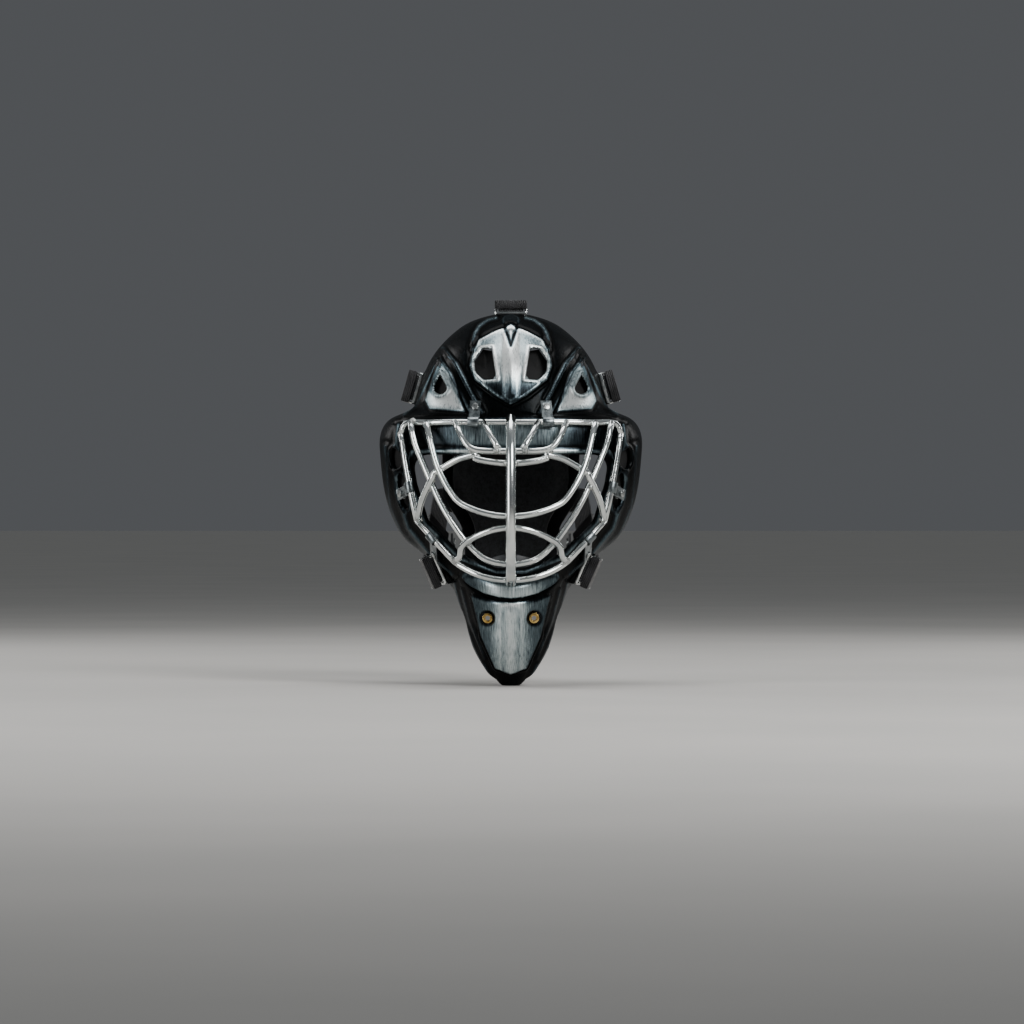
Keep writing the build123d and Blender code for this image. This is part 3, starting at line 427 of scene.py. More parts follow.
CHIN_FOLD = [(48, -96), (42, -120), (31, -150), (16, -177)]
CHIN_SIDE_FOLD = [(42, -101), (35, -128), (22, -160)]
TEARDROP = (59.9, 71.7, 6.5, 12.5)                          # middle, radius, tip above the middle
EAR_VENTS = [(-74.0, 10.7, 10.0, 9.5), (-79.0, -17.0, 9.0, 15.0)]     # fore and aft, up, half sizes
INSERT_PLACE = (19.7, -125.0)

SHELL_VOXEL = 1.15 * MM
SHELL_FACES = 190000


def distance_to(across, up, line):
    """How far each point is from a drawn line, in the front view."""
    best = np.full(len(across), 1e6)
    for (x0, z0), (x1, z1) in zip(line, line[1:]):
        dx, dz = x1 - x0, z1 - z0
        share = np.clip(((across - x0) * dx + (up - z0) * dz) / (dx * dx + dz * dz), 0, 1)
        best = np.minimum(best, np.hypot(across - x0 - share * dx, up - z0 - share * dz))
    return best


def within(across, up, outline):
    """Whether each point lies inside a drawn outline."""
    odd = np.zeros(len(across), bool)
    closed = outline + [outline[0]]
    for (x0, z0), (x1, z1) in zip(closed, closed[1:]):
        crosses = (z0 > up) != (z1 > up)
        rise = np.where(z1 == z0, 1e-9, z1 - z0)
        odd ^= crosses & (across < (x1 - x0) * (up - z0) / rise + x0)
    return odd


def eased(value, start, end):
    """0 before start, 1 after end, and smooth between."""
    share = np.clip((value - start) / (end - start), 0, 1)
    return share * share * (3 - 2 * share)


def hump(distance, width):
    return np.exp(-(distance / width) ** 2)


def carved(across, depth, up):
    """How far each outer point of the shell stands out or in, and how pale its paint is, painted highlights and
    painted shade included.
    """
    ridge = np.zeros(len(across))
    groove = np.zeros(len(across))
    crest = within(across, up, CREST_EDGE + [(-1, 58), (-1, 124.5)])
    crest_far = distance_to(across, up, CREST_EDGE)
    vent_far = distance_to(across, up, FOREHEAD_VENT)
    front = eased(-depth, 20, 45)
    ridge += 1.1 * hump(crest_far, 1.3) * front
    groove += 0.9 * hump(crest_far - 3.4, 1.3) * ~crest * front
    ridge += 1.0 * hump(vent_far - 1.4, 1.2) * front
    keel = np.clip(1 - across / 8.0, 0, 1) * eased(up, 57, 66) * (1 - eased(up, 118, 125)) * front
    ridge += 2.6 * keel
    groove += 1.3 * hump(distance_to(across, up, CREST_NOTCH), 1.2) * front
    ridge += 1.6 * eased(8.5 - np.hypot(across, (up - 130) * 1.2), 0, 3.5) * front
    for line, rise, width in ((CROWN_RIDGE, 1.1, 1.3), (OUTER_RIDGE, 1.4, 1.5), (SECOND_RIDGE, 0.8, 1.1),
                              (PANEL_FOLD, 0.9, 1.5), (FACE_LIP, 1.0, 1.6), (CHEEK_FOLD, 0.9, 1.8),
                              (JAW_FOLD, 0.7, 1.8), (CHIN_FOLD, 0.8, 1.4), (CHIN_SIDE_FOLD, 0.9, 1.2)):
        far = distance_to(across, up, line)
        ridge += rise * hump(far, width) * front
        groove += 0.45 * rise * hump(far - 2.4 * width, width) * front
    panel = within(across, up, SIDE_PANEL)
    panel_far = distance_to(across, up, SIDE_PANEL)
    ridge += 0.9 * np.where(panel, eased(panel_far, 0, 1.8), 0) * front
    groove += 0.7 * hump(panel_far, 1.1) * front
    groove += 0.8 * hump(distance_to(across, up, BROW_FOLD), 1.3) * front
    x, z, radius, tip = TEARDROP
    drop = [(x + radius * math.cos(a), z + radius * math.sin(a)) for a in np.linspace(math.pi, 2 * math.pi, 13)]
    drop_far = distance_to(across, up, drop + [(x, z + tip), drop[0]])
    ridge += 0.9 * hump(drop_far - 1.5, 1.2) * front
    side = eased(across, 70, 88)
    for y, z, half_width, half_height in EAR_VENTS:
        oval = np.hypot((depth - y) / half_width, (up - z) / half_height)
        far = (oval - 1) * min(half_width, half_height)
        ridge += 0.9 * hump(far - 1.6, 1.3) * side
    ledge_far = up - np.interp(across, [x for x, _ in LEDGE_EDGE], [z for _, z in LEDGE_EDGE])
    chin = front * eased(-up, 84, 92) * (1 - eased(across, 36, 44))
    ridge += 2.2 * eased(ledge_far, 0, 1.4) * (1 - eased(ledge_far, 8, 17)) * chin
    groove += 1.5 * hump(ledge_far + 1.2, 1.0) * chin
    chin_far = distance_to(across, up, CHIN_PANEL)
    lower = within(across, up, CHIN_PANEL + [(-1, -173), (-1, -111)])
    ridge += 0.9 * np.where(lower, eased(chin_far, 0, 2.0), 0) * front
    groove += 0.7 * hump(chin_far, 1.0) * front * (up < -112)
    ridge += 1.5 * np.clip(1 - across / 9.0, 0, 1) * lower * eased(-up, 112, 120) * front
    boss_far = np.hypot(across - INSERT_PLACE[0], up - INSERT_PLACE[1])
    ridge *= eased(boss_far, 5.5, 7.5)
    groove *= eased(boss_far, 5.5, 7.5)

    tone_and_painted_light = np.full(len(across), 0.07)
    forehead = front * eased(up, 44, 56)
    tone_and_painted_light += forehead * 0.10
    # The side panel is paler inside its edges and towards the middle: painted shade along its edges.
    tone_and_painted_light = np.where(panel, 0.20 + 0.26 * eased(panel_far, 0, 9) + 0.14 * eased(-across, -74, -52), tone_and_painted_light)
    # Painted highlight on the crest, strongest at its middle height near the centre, with painted shade towards its
    # top.
    crown_painted_highlight = eased(up, 62, 88) * (0.42 + 0.26 * np.clip(1 - across / 20, 0, 1))
    tone_and_painted_light = np.where(crest, 0.12 + crown_painted_highlight - 0.12 * eased(up, 100, 122), tone_and_painted_light)
    chevron = within(across, up, [(-1, 57), (11, 63), (22, 69), (27, 58), (24, 46), (-1, 46)])
    tone_and_painted_light = np.where(chevron, 0.03, tone_and_painted_light)
    # A paler brushed band across the forehead; its fade to dark towards the sides is painted shade.
    band = eased(up, 12, 16) * (1 - eased(up, 43, 47)) * front
    tone_and_painted_light += band * (0.46 - 0.40 * eased(across, 34, 70))
    cheek = front * (1 - eased(up, 8, 14)) * eased(up, -84, -70) * (1 - eased(across, 96, 104))
    tone_and_painted_light += cheek * 0.04
    # A painted highlight along the chin ledge, dimmer towards its ends.
    ledge = chin * eased(ledge_far, 0, 1.5) * (1 - eased(ledge_far, 9, 15))
    tone_and_painted_light += ledge * (0.52 - 0.30 * eased(across, 10, 34))
    # A painted highlight down the middle of the chin panel, with painted shade at its sides.
    chin_painted_highlight = np.exp(-(across / 11.0) ** 2)
    tone_and_painted_light = np.where(lower, 0.08 + 0.55 * chin_painted_highlight, tone_and_painted_light)
    # Painted highlights along the raised ridges and painted shade in the grooves beside them.
    lines = np.clip(ridge, 0, 1.3) * (0.20 + 0.80 * eased(1.35 - ridge, 0, 0.5))
    tone_and_painted_light += 0.38 * lines - 0.60 * np.clip(groove, 0, 1.2)
    return ridge - groove, np.clip(tone_and_painted_light, 0, 1)


def build_shell():
    shell = cast_of("shell_skin", "shell")
    work(shell, "REMESH", mode="VOXEL", voxel_size=SHELL_VOXEL, adaptivity=0.0)
    work(shell, "SMOOTH", factor=0.5, iterations=6)
    places = points_of(shell)
    normals = normals_of(shell)
    across, depth, up = np.abs(places[:, 0]) / MM, places[:, 1] / MM, places[:, 2] / MM
    outward = np.stack([places[:, 0] / 0.114, (places[:, 1] + 0.01) / 0.11, places[:, 2] / 0.15], axis=1)
    outward /= np.linalg.norm(outward, axis=1, keepdims=True)
    facing = (normals * outward).sum(axis=1)
    outer = eased(facing, 0.02, 0.25)
    rise, tone_and_painted_light = carved(across, depth, up)
    clear = seat_clearance(places)
    move_points(shell, places + normals * (rise * outer * clear * MM)[:, None])
    inside = eased(-facing, 0.0, 0.2)
    keep_value(shell, "tone_and_painted_light", tone_and_painted_light * (1 - inside) + 0.06 * inside)
    work(shell, "DECIMATE", ratio=min(1.0, SHELL_FACES / (2 * len(shell.data.polygons))))
    smooth_faces(shell, 60)
    return dress(shell, GUNMETAL, "shell_paint", "mask", "shell")


SCREEN_MARGIN = 3.5         # mm that the gauze behind an air hole reaches past the hole
RAY_FROM = 0.4              # metres out, clear of the mask
SCREEN_LIFT = 0.6 * MM      # off the shell's inner face
TEARDROP_FACE = [(59.9, 84.2), (66.0, 74.5), (66.2, 70.0), (62.5, 65.8), (57.3, 65.8), (53.6, 70.0),
                 (53.8, 74.5)]


def grown(outline, margin):
    """A drawn outline moved out from its middle by a margin."""
    points = np.array(outline)
    middle = points.mean(axis=0)
    away = points - middle
    return middle + away * (1 + margin / np.linalg.norm(away, axis=1, keepdims=True))


def inner_face(wall, start, toward):
    """The place just inside the shell behind where a ray meets it."""
    place, normal, _, _ = wall.ray_cast(start, toward)
    if place is None:
        return None
    far, _, _, _ = wall.ray_cast(place - normal * 0.5 * MM, -normal)
    return None if far is None else far - normal * SCREEN_LIFT


def build_screens():
    """Black gauze behind each air hole, also standing in for the shade inside it: a flat fan from its middle to a
    rim on the shell's inner face.
    """
    shell = frame["nodes"]["shell"].data
    wall = BVHTree.FromPolygons([v.co for v in shell.vertices], [tuple(p.vertices) for p in shell.polygons])
    faces = []
    for outline in (FOREHEAD_VENT[:-1], TEARDROP_FACE):
        rim = grown(outline, SCREEN_MARGIN)
        for side in (1, -1):
            starts = [Vector((side * x * MM, -RAY_FROM, z * MM)) for x, z in rim]
            faces.append([inner_face(wall, start, Vector((0, 1, 0))) for start in starts])
    for y, z, half_width, half_height in EAR_VENTS:
        turns = np.linspace(0, 2 * math.pi, 12, endpoint=False)
        reach = (half_width + SCREEN_MARGIN, half_height + SCREEN_MARGIN)
        for side in (1, -1):
            starts = [Vector((side * RAY_FROM, (y + reach[0] * math.cos(t)) * MM,
                              (z + reach[1] * math.sin(t)) * MM)) for t in turns]
            faces.append([inner_face(wall, start, Vector((-side, 0, 0))) for start in starts])
    points, fans = [], []
    for face in faces:
        rim = [place for place in face if place is not None]
        first = len(points)
        points += [sum(rim, Vector()) / len(rim), *rim]
        fans += [(first, first + 1 + i, first + 1 + (i + 1) % len(rim)) for i in range(len(rim))]
    mesh = bpy.data.meshes.new("vent_gauze")
    mesh.from_pydata(points, [], fans)
    gauze = bpy.data.objects.new("vent_gauze", mesh)
    bpy.context.scene.collection.objects.link(gauze)
    work(gauze, "SOLIDIFY", thickness=0.3 * MM, offset=0.0)
    dress(gauze, SHADE_GAUZE, "pad_foam", "mask")


SEATED = ["top_clip_base", "upper_left_clip_base", "upper_right_clip_base", "lower_left_clip_base",
          "lower_right_clip_base", "cage_top_clips", "cage_side_clips", "cage_jaw_clips", "cage_screws",
          "cage_top_rail", "cage_side_rails", "cage_lower_rails", "cage_bottom_rail", "cage_brow_loop"]
SEAT_REACH = (1.2 * MM, 4.0 * MM)     # the shell keeps its plain shape this near a part seated on it


def seat_clearance(places):
    """0 where something sits on the shell and 1 away from it, so that no carving lifts into it."""
    seated = np.concatenate([points_of(frame["nodes"][node]) for node in SEATED])[::2]
    tree = tree_of(seated)
    far = np.array([tree.find(place)[2] for place in places])
    return eased(far, *SEAT_REACH)


# ---------------------------------------------------------------- cage
RODS = ["cage_top_rail", "cage_side_rails", "cage_lower_rails", "cage_bottom_rail", "cage_eye_loop",
        "cage_outer_loop", "cage_brow_loop", "cage_brow_struts", "cage_eye_arches", "cage_eye_bridge",
        "cage_mouth_arch", "cage_centre_bar"]
WELD_TOUCH = 0.9 * MM       # two rods' skins this near each other are welded there
WELD_SPACING = 7.0 * MM
WELD_RADIUS = 2.7 * MM


def weld_places():
    """Where rods meet, no nearer to each other than a weld's spacing."""
    places = []
    for first, second in frame["record"]["behaviour"].get("press_fits", []) or []:
        near = points_of(frame["nodes"][first])
        tree = tree_of(near)
        for place in points_of(frame["nodes"][second]):
            found, _, far = tree.find(place)
            middle = (Vector(place) + found) / 2
            if far < WELD_TOUCH and all((middle - other).length > WELD_SPACING for other in places):
                places.append(middle)
    return places


def build_rods():
    for node in RODS:
        rod = cast_of(node + "_rod", node)
        smooth_faces(rod, 50)
        dress(rod, ROD_STEEL, "cage_steel", "mask", node)


def build_welds():
    """Small ground welds, each a squashed and rippled bead over the meeting of two rods."""
    beads = []
    for index, place in enumerate(weld_places()):
        bpy.ops.object.select_all(action="DESELECT")
        bpy.ops.mesh.primitive_ico_sphere_add(subdivisions=3, radius=WELD_RADIUS, location=place)
        bead = bpy.context.object
        bead.scale = (1.0, 0.92, 1.0)
        lay_in_place(bead)
        spots = points_of(bead)
        turn = index * 1.7
        ripple = 1 + 0.05 * np.sin(spots[:, 0] * 2600 + turn) * np.sin(spots[:, 2] * 2600 - turn)
        middle = np.array(place)
        move_points(bead, middle + (spots - middle) * ripple[:, None])
        beads.append(bead)
    if beads:
        welds = join("cage_welds", beads)
        smooth_faces(welds, 60)
        dress(welds, WELD_STEEL, "cage_steel", "mask")


# ---------------------------------------------------------------- clips, screws and other metalwork
def soften(piece, width, angle=30, segments=2):
    """Flat faces made whole again, edges broken with a small bevel, and curved faces shaded smooth."""
    pick(piece)
    bpy.ops.object.mode_set(mode="EDIT")
    bpy.ops.mesh.select_all(action="SELECT")
    bpy.ops.mesh.dissolve_limited(angle_limit=math.radians(1.0))
    bpy.ops.object.mode_set(mode="OBJECT")
    work(piece, "BEVEL", width=width, segments=segments, limit_method="ANGLE", angle_limit=math.radians(angle),
         harden_normals=False, use_clamp_overlap=True)
    smooth_faces(piece, 35)


CLIPS = ("top", "upper_left", "upper_right", "lower_left", "lower_right")


def build_clips():
    for clip in CLIPS:
        base = cast_of(clip + "_clip_plate", clip + "_clip_base")
        soften(base, 0.35 * MM)
        dress(base, CLIP_STEEL, "clip_steel", "mask", clip + "_clip_base")
        pin = cast_of(clip + "_clip_axle", clip + "_clip_pin")
        soften(pin, 0.25 * MM)
        dress(pin, ZINC_STEEL, "fastener_steel", "mask", clip + "_clip_pin")
        lever = cast_of(clip + "_clip_handle", clip + "_clip_lever")
        soften(lever, 0.22 * MM)
        dress(lever, LEVER_NYLON, "lever_nylon", clip + "_lever", clip + "_clip_lever")


# Node, piece, bevel in millimetres, finish, slot and body.
METALWORK = [
    ("cage_top_clips", "forehead_tabs", 0.35, TAB_STEEL, "clip_steel", "mask"),
    ("cage_side_clips", "side_tabs", 0.35, TAB_STEEL, "clip_steel", "mask"),
    ("cage_jaw_clips", "jaw_tabs", 0.35, TAB_STEEL, "clip_steel", "mask"),
    ("clip_screws", "clip_bolts", 0.30, ZINC_STEEL, "fastener_steel", "mask"),
    ("cage_screws", "cage_bolts", 0.30, ZINC_STEEL, "fastener_steel", "mask"),
    ("clip_t_nuts", "clip_nuts", 0.15, ZINC_STEEL, "fastener_steel", "mask"),
    ("cage_t_nuts", "cage_nuts", 0.15, ZINC_STEEL, "fastener_steel", "mask"),
    ("throat_guard_inserts", "throat_inserts", 0.25, INSERT_BRASS, "insert_brass", "mask"),
    ("chin_strap_studs", "chin_studs", 0.25, ZINC_STEEL, "fastener_steel", "mask"),
    ("strap_rivets", "back_rivets", 0.35, ZINC_STEEL, "fastener_steel", "backplate"),
    ("strap_sliders", "back_sliders", 0.45, LEVER_NYLON, "lever_nylon", "backplate"),
]


def build_metalwork():
    for node, name, bevel, finish, slot, body in METALWORK:
        piece = cast_of(name, node)
        soften(piece, bevel * MM)
        dress(piece, finish, slot, body, node)


# ---------------------------------------------------------------- straps
STRAP_WIDTH = 22 * MM
STRAP_THICK = 2 * MM
ACROSS_COUNT = 12
ALONG_STEP = 1.6 * MM


def strap_frame(node):
    """A strap's middles, width directions and outward directions, from the corners of its solid."""
    solid = cast_of(node + "_cast", node)
    spots = [Vector(v.co) for v in solid.data.vertices]
    bpy.data.objects.remove(solid)
    tree = tree_of(spots)
    edges = []
    for index, spot in enumerate(spots):
        for other, other_index, far in tree.find_range(spot, STRAP_THICK + 0.05 * MM):
            if other_index > index and abs(far - STRAP_THICK) < 0.02 * MM:
                edges.append(((spot + other) / 2, (spot - other).normalized()))
    stations = []
    for index, (left, lift) in enumerate(edges):
        for right, other_lift in edges[index + 1:]:
            span = left - right
            wide = abs(span.length - STRAP_WIDTH) < 0.004 * MM
            level = abs(abs(lift.dot(other_lift)) - 1) < 1e-4 and abs(span.normalized().dot(lift)) < 0.02
            if wide and level:
                stations.append(((left + right) / 2, span.normalized(), lift))
    return stations


def order_stations(stations):
    """Stations from the clip to the backplate, with their directions turned to agree."""
    stations = sorted(stations, key=lambda s: s[0].y)
    ordered = [stations[0]]
    for middle, width, lift in stations[1:]:
        if (middle - ordered[-1][0]).length < 2.5 * MM:
            continue
        _, last_width, last_lift = ordered[-1]
        ordered.append((middle, width if width.dot(last_width) > 0 else -width,
                        lift if lift.dot(last_lift) > 0 else -lift))
    return ordered


def spline_value(before, start, end, after, share):
    """A point on a smooth curve through start and end."""
    return 0.5 * ((2 * start) + (end - before) * share + (2 * before - 5 * start + 4 * end - after) * share ** 2
                  + (3 * start - before - 3 * end + after) * share ** 3)


def strap_line(stations, softness=0.5):
    """Close steps along a strap: middle, width direction and outward direction, with its bends eased."""
    steps = []
    for index in range(len(stations) - 1):
        four = [stations[max(index - 1, 0)], stations[index], stations[index + 1],
                stations[min(index + 2, len(stations) - 1)]]
        count = max(2, round((four[2][0] - four[1][0]).length / ALONG_STEP))
        for step in range(count + (index == len(stations) - 2)):
            share = step / count
            smooth = spline_value(*[s[0] for s in four], share)
            straight = four[1][0].lerp(four[2][0], share)
            middle = straight.lerp(smooth, softness)
            steps.append((middle, four[1][1].lerp(four[2][1], share).normalized(),
                          four[1][2].lerp(four[2][2], share).normalized()))
    return steps


def web(name, steps, width, thick, material):
    """A woven strap along the steps: a grid laid on them, given its thickness and rounded edges."""
    bpy.ops.object.select_all(action="DESELECT")
    bpy.ops.mesh.primitive_grid_add(x_subdivisions=ACROSS_COUNT, y_subdivisions=len(steps) - 1, size=1)
    strap = bpy.context.object
    strap.name = strap.data.name = name
    grid = points_of(strap)
    run = [0.0]
    for (a, _, _), (b, _, _) in zip(steps, steps[1:]):
        run.append(run[-1] + (b - a).length)
    rows = np.rint((grid[:, 1] + 0.5) * (len(steps) - 1)).astype(int)
    aside = grid[:, 0] * (width - 0.4 * MM)
    middles = np.array([step[0] for step in steps])
    widths = np.array([step[1] for step in steps])
    move_points(strap, middles[rows] + widths[rows] * aside[:, None])
    corners = corners_of(strap)
    lay_run(strap, np.stack([aside[corners], np.array(run)[rows[corners]]], axis=1))
    work(strap, "SOLIDIFY", thickness=thick, offset=0.0, use_even_offset=False)
    work(strap, "BEVEL", width=0.5 * MM, segments=2, limit_method="ANGLE", angle_limit=math.radians(60))
    smooth_faces(strap, 50)
    strap.data.materials.clear()
    strap.data.materials.append(material)
    return strap


STITCH = (2.6 * MM, 0.5 * MM)         # a stitch's length and thickness
STITCH_GAP = 3.6 * MM
BOX_LENGTH = 17 * MM


def stitches(name, steps, first, last, inset, face_lift, width):
    """Stitches round a box on a strap, between two of its steps, a little proud of the weave."""
    made = []
    middles = [steps[i][0] for i in range(first, last + 1)]
    length = sum((b - a).length for a, b in zip(middles, middles[1:]))
    count = max(2, int(length / STITCH_GAP))
    half = width / 2 - inset
    spots = []
    for index in range(count):
        at = first + (last - first) * (index + 0.5) / count
        spots += [(at, half, 0), (at, -half, 0)]
    across = max(2, int(2 * half / STITCH_GAP))
    for index in range(across):
        side = -half + 2 * half * (index + 0.5) / across
        spots += [(first, side, 1), (last, side, 1)]
    for at, side, turned in spots:
        low = int(min(max(at, 0), len(steps) - 2))
        middle = steps[low][0].lerp(steps[low + 1][0], at - low)
        width_dir, lift = steps[low][1], steps[low][2]
        along = (steps[low + 1][0] - steps[low][0]).normalized()
        direction = width_dir if turned else along
        side_dir = lift.cross(direction).normalized()
        turn = Matrix((direction, side_dir, lift)).transposed().to_4x4()
        bpy.ops.mesh.primitive_uv_sphere_add(segments=8, ring_count=5, radius=0.5)
        stitch = bpy.context.object
        stitch.matrix_world = Matrix.Translation(middle + width_dir * side + lift * face_lift) @ turn \
            @ Matrix.Diagonal((STITCH[0], STITCH[1], STITCH[1], 1))
        made.append(stitch)
        bpy.ops.object.select_all(action="DESELECT")
    piece = join(name, made)
    lay_in_place(piece)
    smooth_faces(piece, 80)
    piece.data.materials.clear()
    piece.data.materials.append(THREAD)
    return piece


STRAPS = ("upper_strap_left", "upper_strap_right", "lower_strap_left", "lower_strap_right", "top_strap")
OUTWARD_FROM = Vector((0, 0.01, 0.02))


def build_straps():
    for node in STRAPS:
        stations = order_stations(strap_frame(node))
        steps = strap_line(stations)
        flipped = []
        for middle, width_dir, lift in steps:
            out = middle - OUTWARD_FROM
            flipped.append((middle, width_dir, lift if lift.dot(out) > 0 else -lift))
        strap = web(node + "_web", flipped, STRAP_WIDTH, STRAP_THICK, STRAP_WEAVE)
        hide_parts(node)
        lift = STRAP_THICK / 2 + 0.1 * MM
        box = max(3, round(BOX_LENGTH / ALONG_STEP))
        sewn = stitches(node + "_stitching", flipped, len(flipped) - 2 - box, len(flipped) - 2, 3 * MM, lift,
                        STRAP_WIDTH)
        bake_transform(strap)
        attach(sewn, "backplate")


# ---------------------------------------------------------------- pads
PAD_PRESSURE = 4.0
PAD_FRAMES = 20
PAD_SHRINK = 0.7 * MM       # a pad starts this much inside its solid, because it swells
PAD_SWELL = 1.4 * MM        # and no point moves further than this
SEAM_INSET = 5.0 * MM
SEAM_TURN = 0.10            # how far the faces round a point have turned where the seam runs
SEAM_SPREAD = 0.05
SEAM_DEPTH = 0.7 * MM
THIN_PADS = ("sweatband", "chin_cup_pad")
THIN_VOXEL, PAD_VOXEL = 1.6 * MM, 3.2 * MM

# Node, piece, body, what it is made of and its slot.
PADS = [
    ("forehead_pad", "forehead_cushion", "mask", PAD_KNIT, "pad_foam"),
    ("sweatband", "forehead_band", "mask", BAND_KNIT, "sweatband_cloth"),
    ("crown_pad", "crown_cushion", "mask", PAD_KNIT, "pad_foam"),
    ("temple_pad_left", "temple_cushion_left", "mask", PAD_KNIT, "pad_foam"),
    ("temple_pad_right", "temple_cushion_right", "mask", PAD_KNIT, "pad_foam"),
    ("jaw_pad_left", "jaw_cushion_left", "mask", PAD_KNIT, "pad_foam"),
    ("jaw_pad_right", "jaw_cushion_right", "mask", PAD_KNIT, "pad_foam"),
    ("backplate_liner", "back_cushion", "backplate", PAD_KNIT, "pad_foam"),
    ("chin_cup_pad", "chin_cushion", "chin_cup", BAND_KNIT, "pad_foam"),
]


def swell(piece):
    """Blows the piece up a little as a cloth skin over its filling, and caps each point's movement."""
    start = points_of(piece)
    cloth = piece.modifiers.new("cover", "CLOTH")
    cloth.settings.use_pressure = True
    cloth.settings.uniform_pressure_force = PAD_PRESSURE
    cloth.settings.effector_weights.gravity = 0
    cloth.point_cache.frame_start = 1
    cloth.point_cache.frame_end = PAD_FRAMES
    scene = bpy.context.scene
    for step in range(1, PAD_FRAMES + 1):
        scene.frame_set(step)
    pick(piece)
    bpy.ops.object.modifier_apply(modifier=cloth.name)
    moved = points_of(piece) - start
    far = np.linalg.norm(moved, axis=1, keepdims=True)
    move_points(piece, start + moved * np.minimum(1, PAD_SWELL / np.maximum(far, 1e-9)))
    scene.frame_set(1)


def seam_round(piece, flat_reach):
    """Draws a sewn channel round the pad's edge: a point near where the faces turn over is on it."""
    normals = normals_of(piece)
    places = points_of(piece)
    tree = tree_of(places)
    turn = np.zeros(len(places))
    for index, place in enumerate(places):
        near = [i for _, i, _ in tree.find_range(place, flat_reach)]
        turn[index] = 1 - (normals[near] @ normals[index]).mean()
    seam = hump(turn - SEAM_TURN, SEAM_SPREAD)
    move_points(piece, places - normals * (seam * SEAM_DEPTH)[:, None])
    # The same amount darkens the knit there, as painted shade.
    keep_value(piece, "seam", seam)


def build_pads():
    for node, name, body, cloth, slot in PADS:
        pad = cast_of(name, node)
        thin = node in THIN_PADS
        work(pad, "REMESH", mode="VOXEL", voxel_size=THIN_VOXEL if thin else PAD_VOXEL, adaptivity=0.0)
        work(pad, "SMOOTH", factor=0.5, iterations=3)
        move_points(pad, points_of(pad) - normals_of(pad) * PAD_SHRINK * (0.4 if thin else 1))
        swell(pad)
        work(pad, "SMOOTH", factor=0.5, iterations=2)
        work(pad, "SUBSURF", levels=1, render_levels=1)
        seam_round(pad, SEAM_INSET)
        smooth_faces(pad, 180)
        dress(pad, cloth, slot, body, node)


# ---------------------------------------------------------------- backplate and chin cup
def rolled(name, node, voxel, rounds, faces):
    """A moulded piece with softened edges."""
    piece = cast_of(name, node)
    work(piece, "REMESH", mode="VOXEL", voxel_size=voxel, adaptivity=0.0)
    work(piece, "SMOOTH", factor=0.5, iterations=rounds)
    if faces:
        work(piece, "DECIMATE", ratio=min(1.0, faces / (2 * len(piece.data.polygons))))
    smooth_faces(piece, 60)
    return piece


PLATE_RIB = 0.9            # mm that each rib on the backplate stands out
PLATE_BORDER = 0.8         # and its raised border
PLATE_RIBS = (-33.0, -13.0, 33.0, 13.0)


def build_backplate():
    plate = rolled("back_shell", "backplate", 1.1 * MM, 5, 0)
    places, normals = points_of(plate), normals_of(plate)
    across, up = places[:, 0] / MM, places[:, 2] / MM
    low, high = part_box("backplate")
    middle, half = (low.z + high.z) / 2 / MM, (high.z - low.z) / 2 / MM
    outer = eased(normals[:, 1], 0.1, 0.5)
    rise = np.zeros(len(places))
    for rib in PLATE_RIBS:
        along = 1 - eased(np.abs(up - middle), 0.55 * half, 0.7 * half)
        rise += PLATE_RIB * eased(2.2 - np.abs(across - rib), 0, 1.0) * along
    border = np.maximum(np.abs(across) / (high.x / MM), np.abs(up - middle) / half)
    rise += PLATE_BORDER * eased(border, 0.90, 0.94)
    seats = ("strap_rivets", "strap_sliders", *STRAPS)
    seated = np.concatenate([points_of(frame["nodes"][node]) for node in seats])
    tree = tree_of(seated)
    clear = eased(np.array([tree.find(place)[2] for place in places]), 3 * MM, 7 * MM)
    move_points(plate, places + normals * (rise * outer * clear * MM)[:, None])
    dress(plate, PLATE_PLASTIC, "backplate_plastic", "backplate", "backplate")


def build_chin_cup():
    cup = rolled("chin_cup_shell", "chin_cup", 0.9 * MM, 4, 0)
    dress(cup, CUP_PLASTIC, "backplate_plastic", "chin_cup", "chin_cup")
    for side in ("left", "right"):
        node = "chin_strap_" + side
        strap = cast_of(node + "_web", node)
        soften(strap, 0.35 * MM)
        lay_run(strap, points_of(strap)[corners_of(strap)][:, 1:])
        dress(strap, CHIN_WEAVE, "chin_webbing", "chin_cup", node)


# ---------------------------------------------------------------- floor, light and camera
FLOOR_SIZE = 80.0
VIEW_MIDDLE = Vector((0.001, -0.03, -0.0347))
VIEW_FIELD = 0.8868         # metres across the view at the mask
SENSOR = 36.0
LENS = 200.0


def lay_floor():
    # Pale matt studio floor, faintly mottled.
    bpy.ops.object.select_all(action="DESELECT")
    bpy.ops.mesh.primitive_plane_add(size=FLOOR_SIZE, location=(0, 0, cad_box[0][2] - 0.5 * MM))
    floor = bpy.context.object
    floor.name = "floor"
    material, shader = new_material("pale matt floor")
    place = add_node(material, "ShaderNodeTexCoord").outputs["Object"]
    mottle = add_node(material, "ShaderNodeTexNoise", {"Vector": place, "Scale": 3.0, "Detail": 3.0})
    shade = ramp(material, mottle.outputs["Fac"], (0.3, "#b4b2ae"), (0.7, "#bbb8b4"))
    set_shader(material, shader, Base_Color=shade, Roughness=0.85)
    floor.data.materials.append(material)


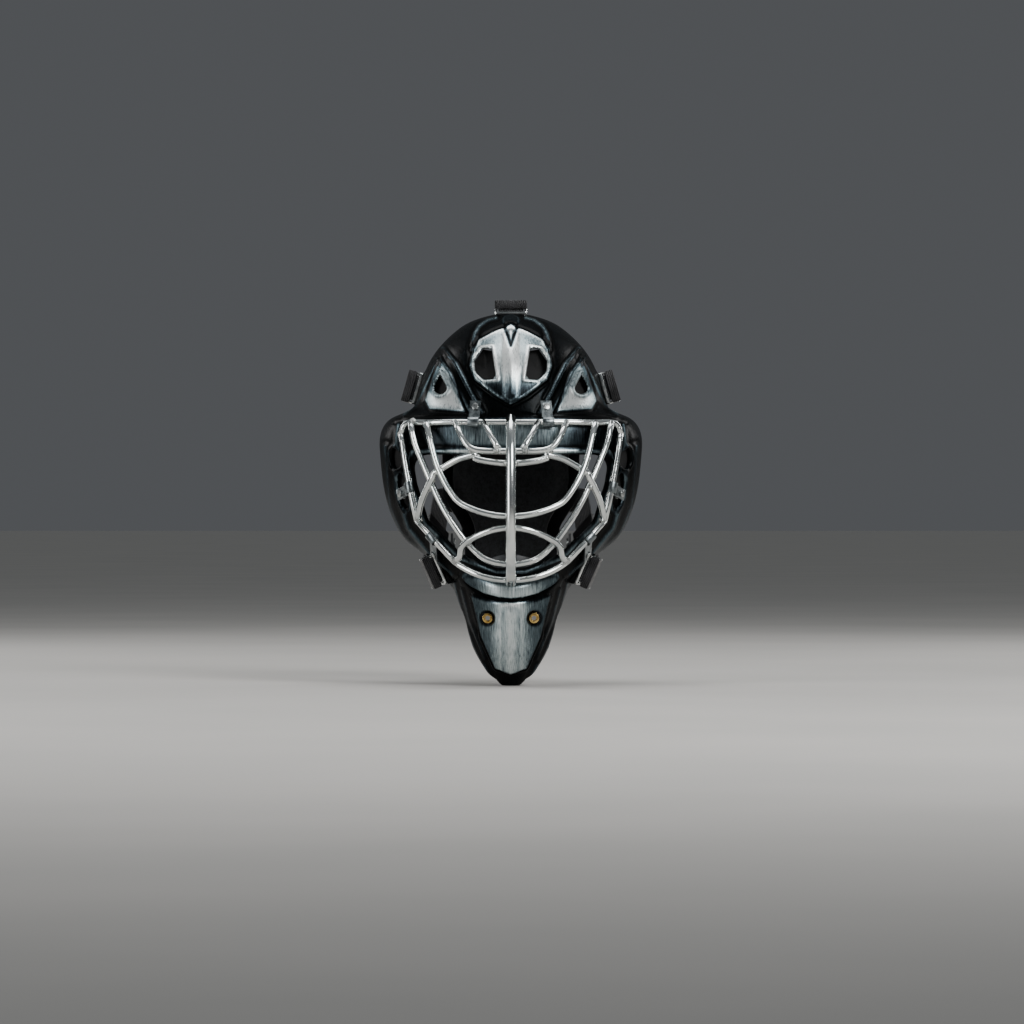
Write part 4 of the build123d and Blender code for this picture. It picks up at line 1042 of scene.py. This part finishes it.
def hang_light(name, place, size, watts, warmth=(1, 1, 1)):
    bpy.ops.object.light_add(type="AREA", location=place)
    light = bpy.context.object
    light.name = name
    light.data.shape = "RECTANGLE"
    light.data.size, light.data.size_y = size
    light.data.energy = watts
    light.data.color = warmth
    direction = Vector((0, 0, -0.02)) - Vector(place)
    light.rotation_euler = direction.to_track_quat("-Z", "Y").to_euler()
    return light


ROOM_DIM = "#5f6164"
ROOM_PALE = "#8f9294"
ROOM_STRENGTH = 0.75


def light_room():
    world = bpy.data.worlds.new("studio")
    bpy.context.scene.world = world
    world.use_nodes = True
    background = world.node_tree.nodes["Background"]
    # The room is as dim as the far floor up to just above its horizon, and paler overhead.
    direction = add_node(world, "ShaderNodeTexCoord").outputs["Generated"]
    height = add_node(world, "ShaderNodeSeparateXYZ", {"Vector": direction}).outputs["Z"]
    shade = ramp(world, height, (0.0, ROOM_DIM), (0.12, ROOM_DIM), (0.55, ROOM_PALE), (1.0, ROOM_PALE))
    world.node_tree.links.new(shade, background.inputs["Color"])
    background.inputs["Strength"].default_value = ROOM_STRENGTH
    hang_light("key", (1.2, -1.7, 1.3), (0.8, 1.1), 44)
    hang_light("fill", (-1.7, -1.4, 0.5), (0.7, 1.4), 20)
    hang_light("top", (0, 0.2, 2.2), (1.6, 1.2), 28)
    hang_light("rim left", (-1.3, 1.3, 0.7), (0.3, 1.2), 8)
    hang_light("rim right", (1.3, 1.3, 0.7), (0.3, 1.2), 8)


def set_camera():
    lens = bpy.data.cameras.new("front")
    lens.sensor_width = SENSOR
    lens.lens = LENS
    lens.clip_end = 50
    camera = bpy.data.objects.new("front", lens)
    bpy.context.scene.collection.objects.link(camera)
    back = VIEW_FIELD * LENS / SENSOR
    camera.location = VIEW_MIDDLE - Vector((0, back, 0))
    camera.rotation_euler = (math.pi / 2, 0, 0)
    bpy.context.scene.camera = camera


build_shell()
build_screens()
build_rods()
build_welds()
build_clips()
build_metalwork()
build_straps()
build_backplate()
build_chin_cup()
build_pads()
lay_floor()
light_room()
set_camera()
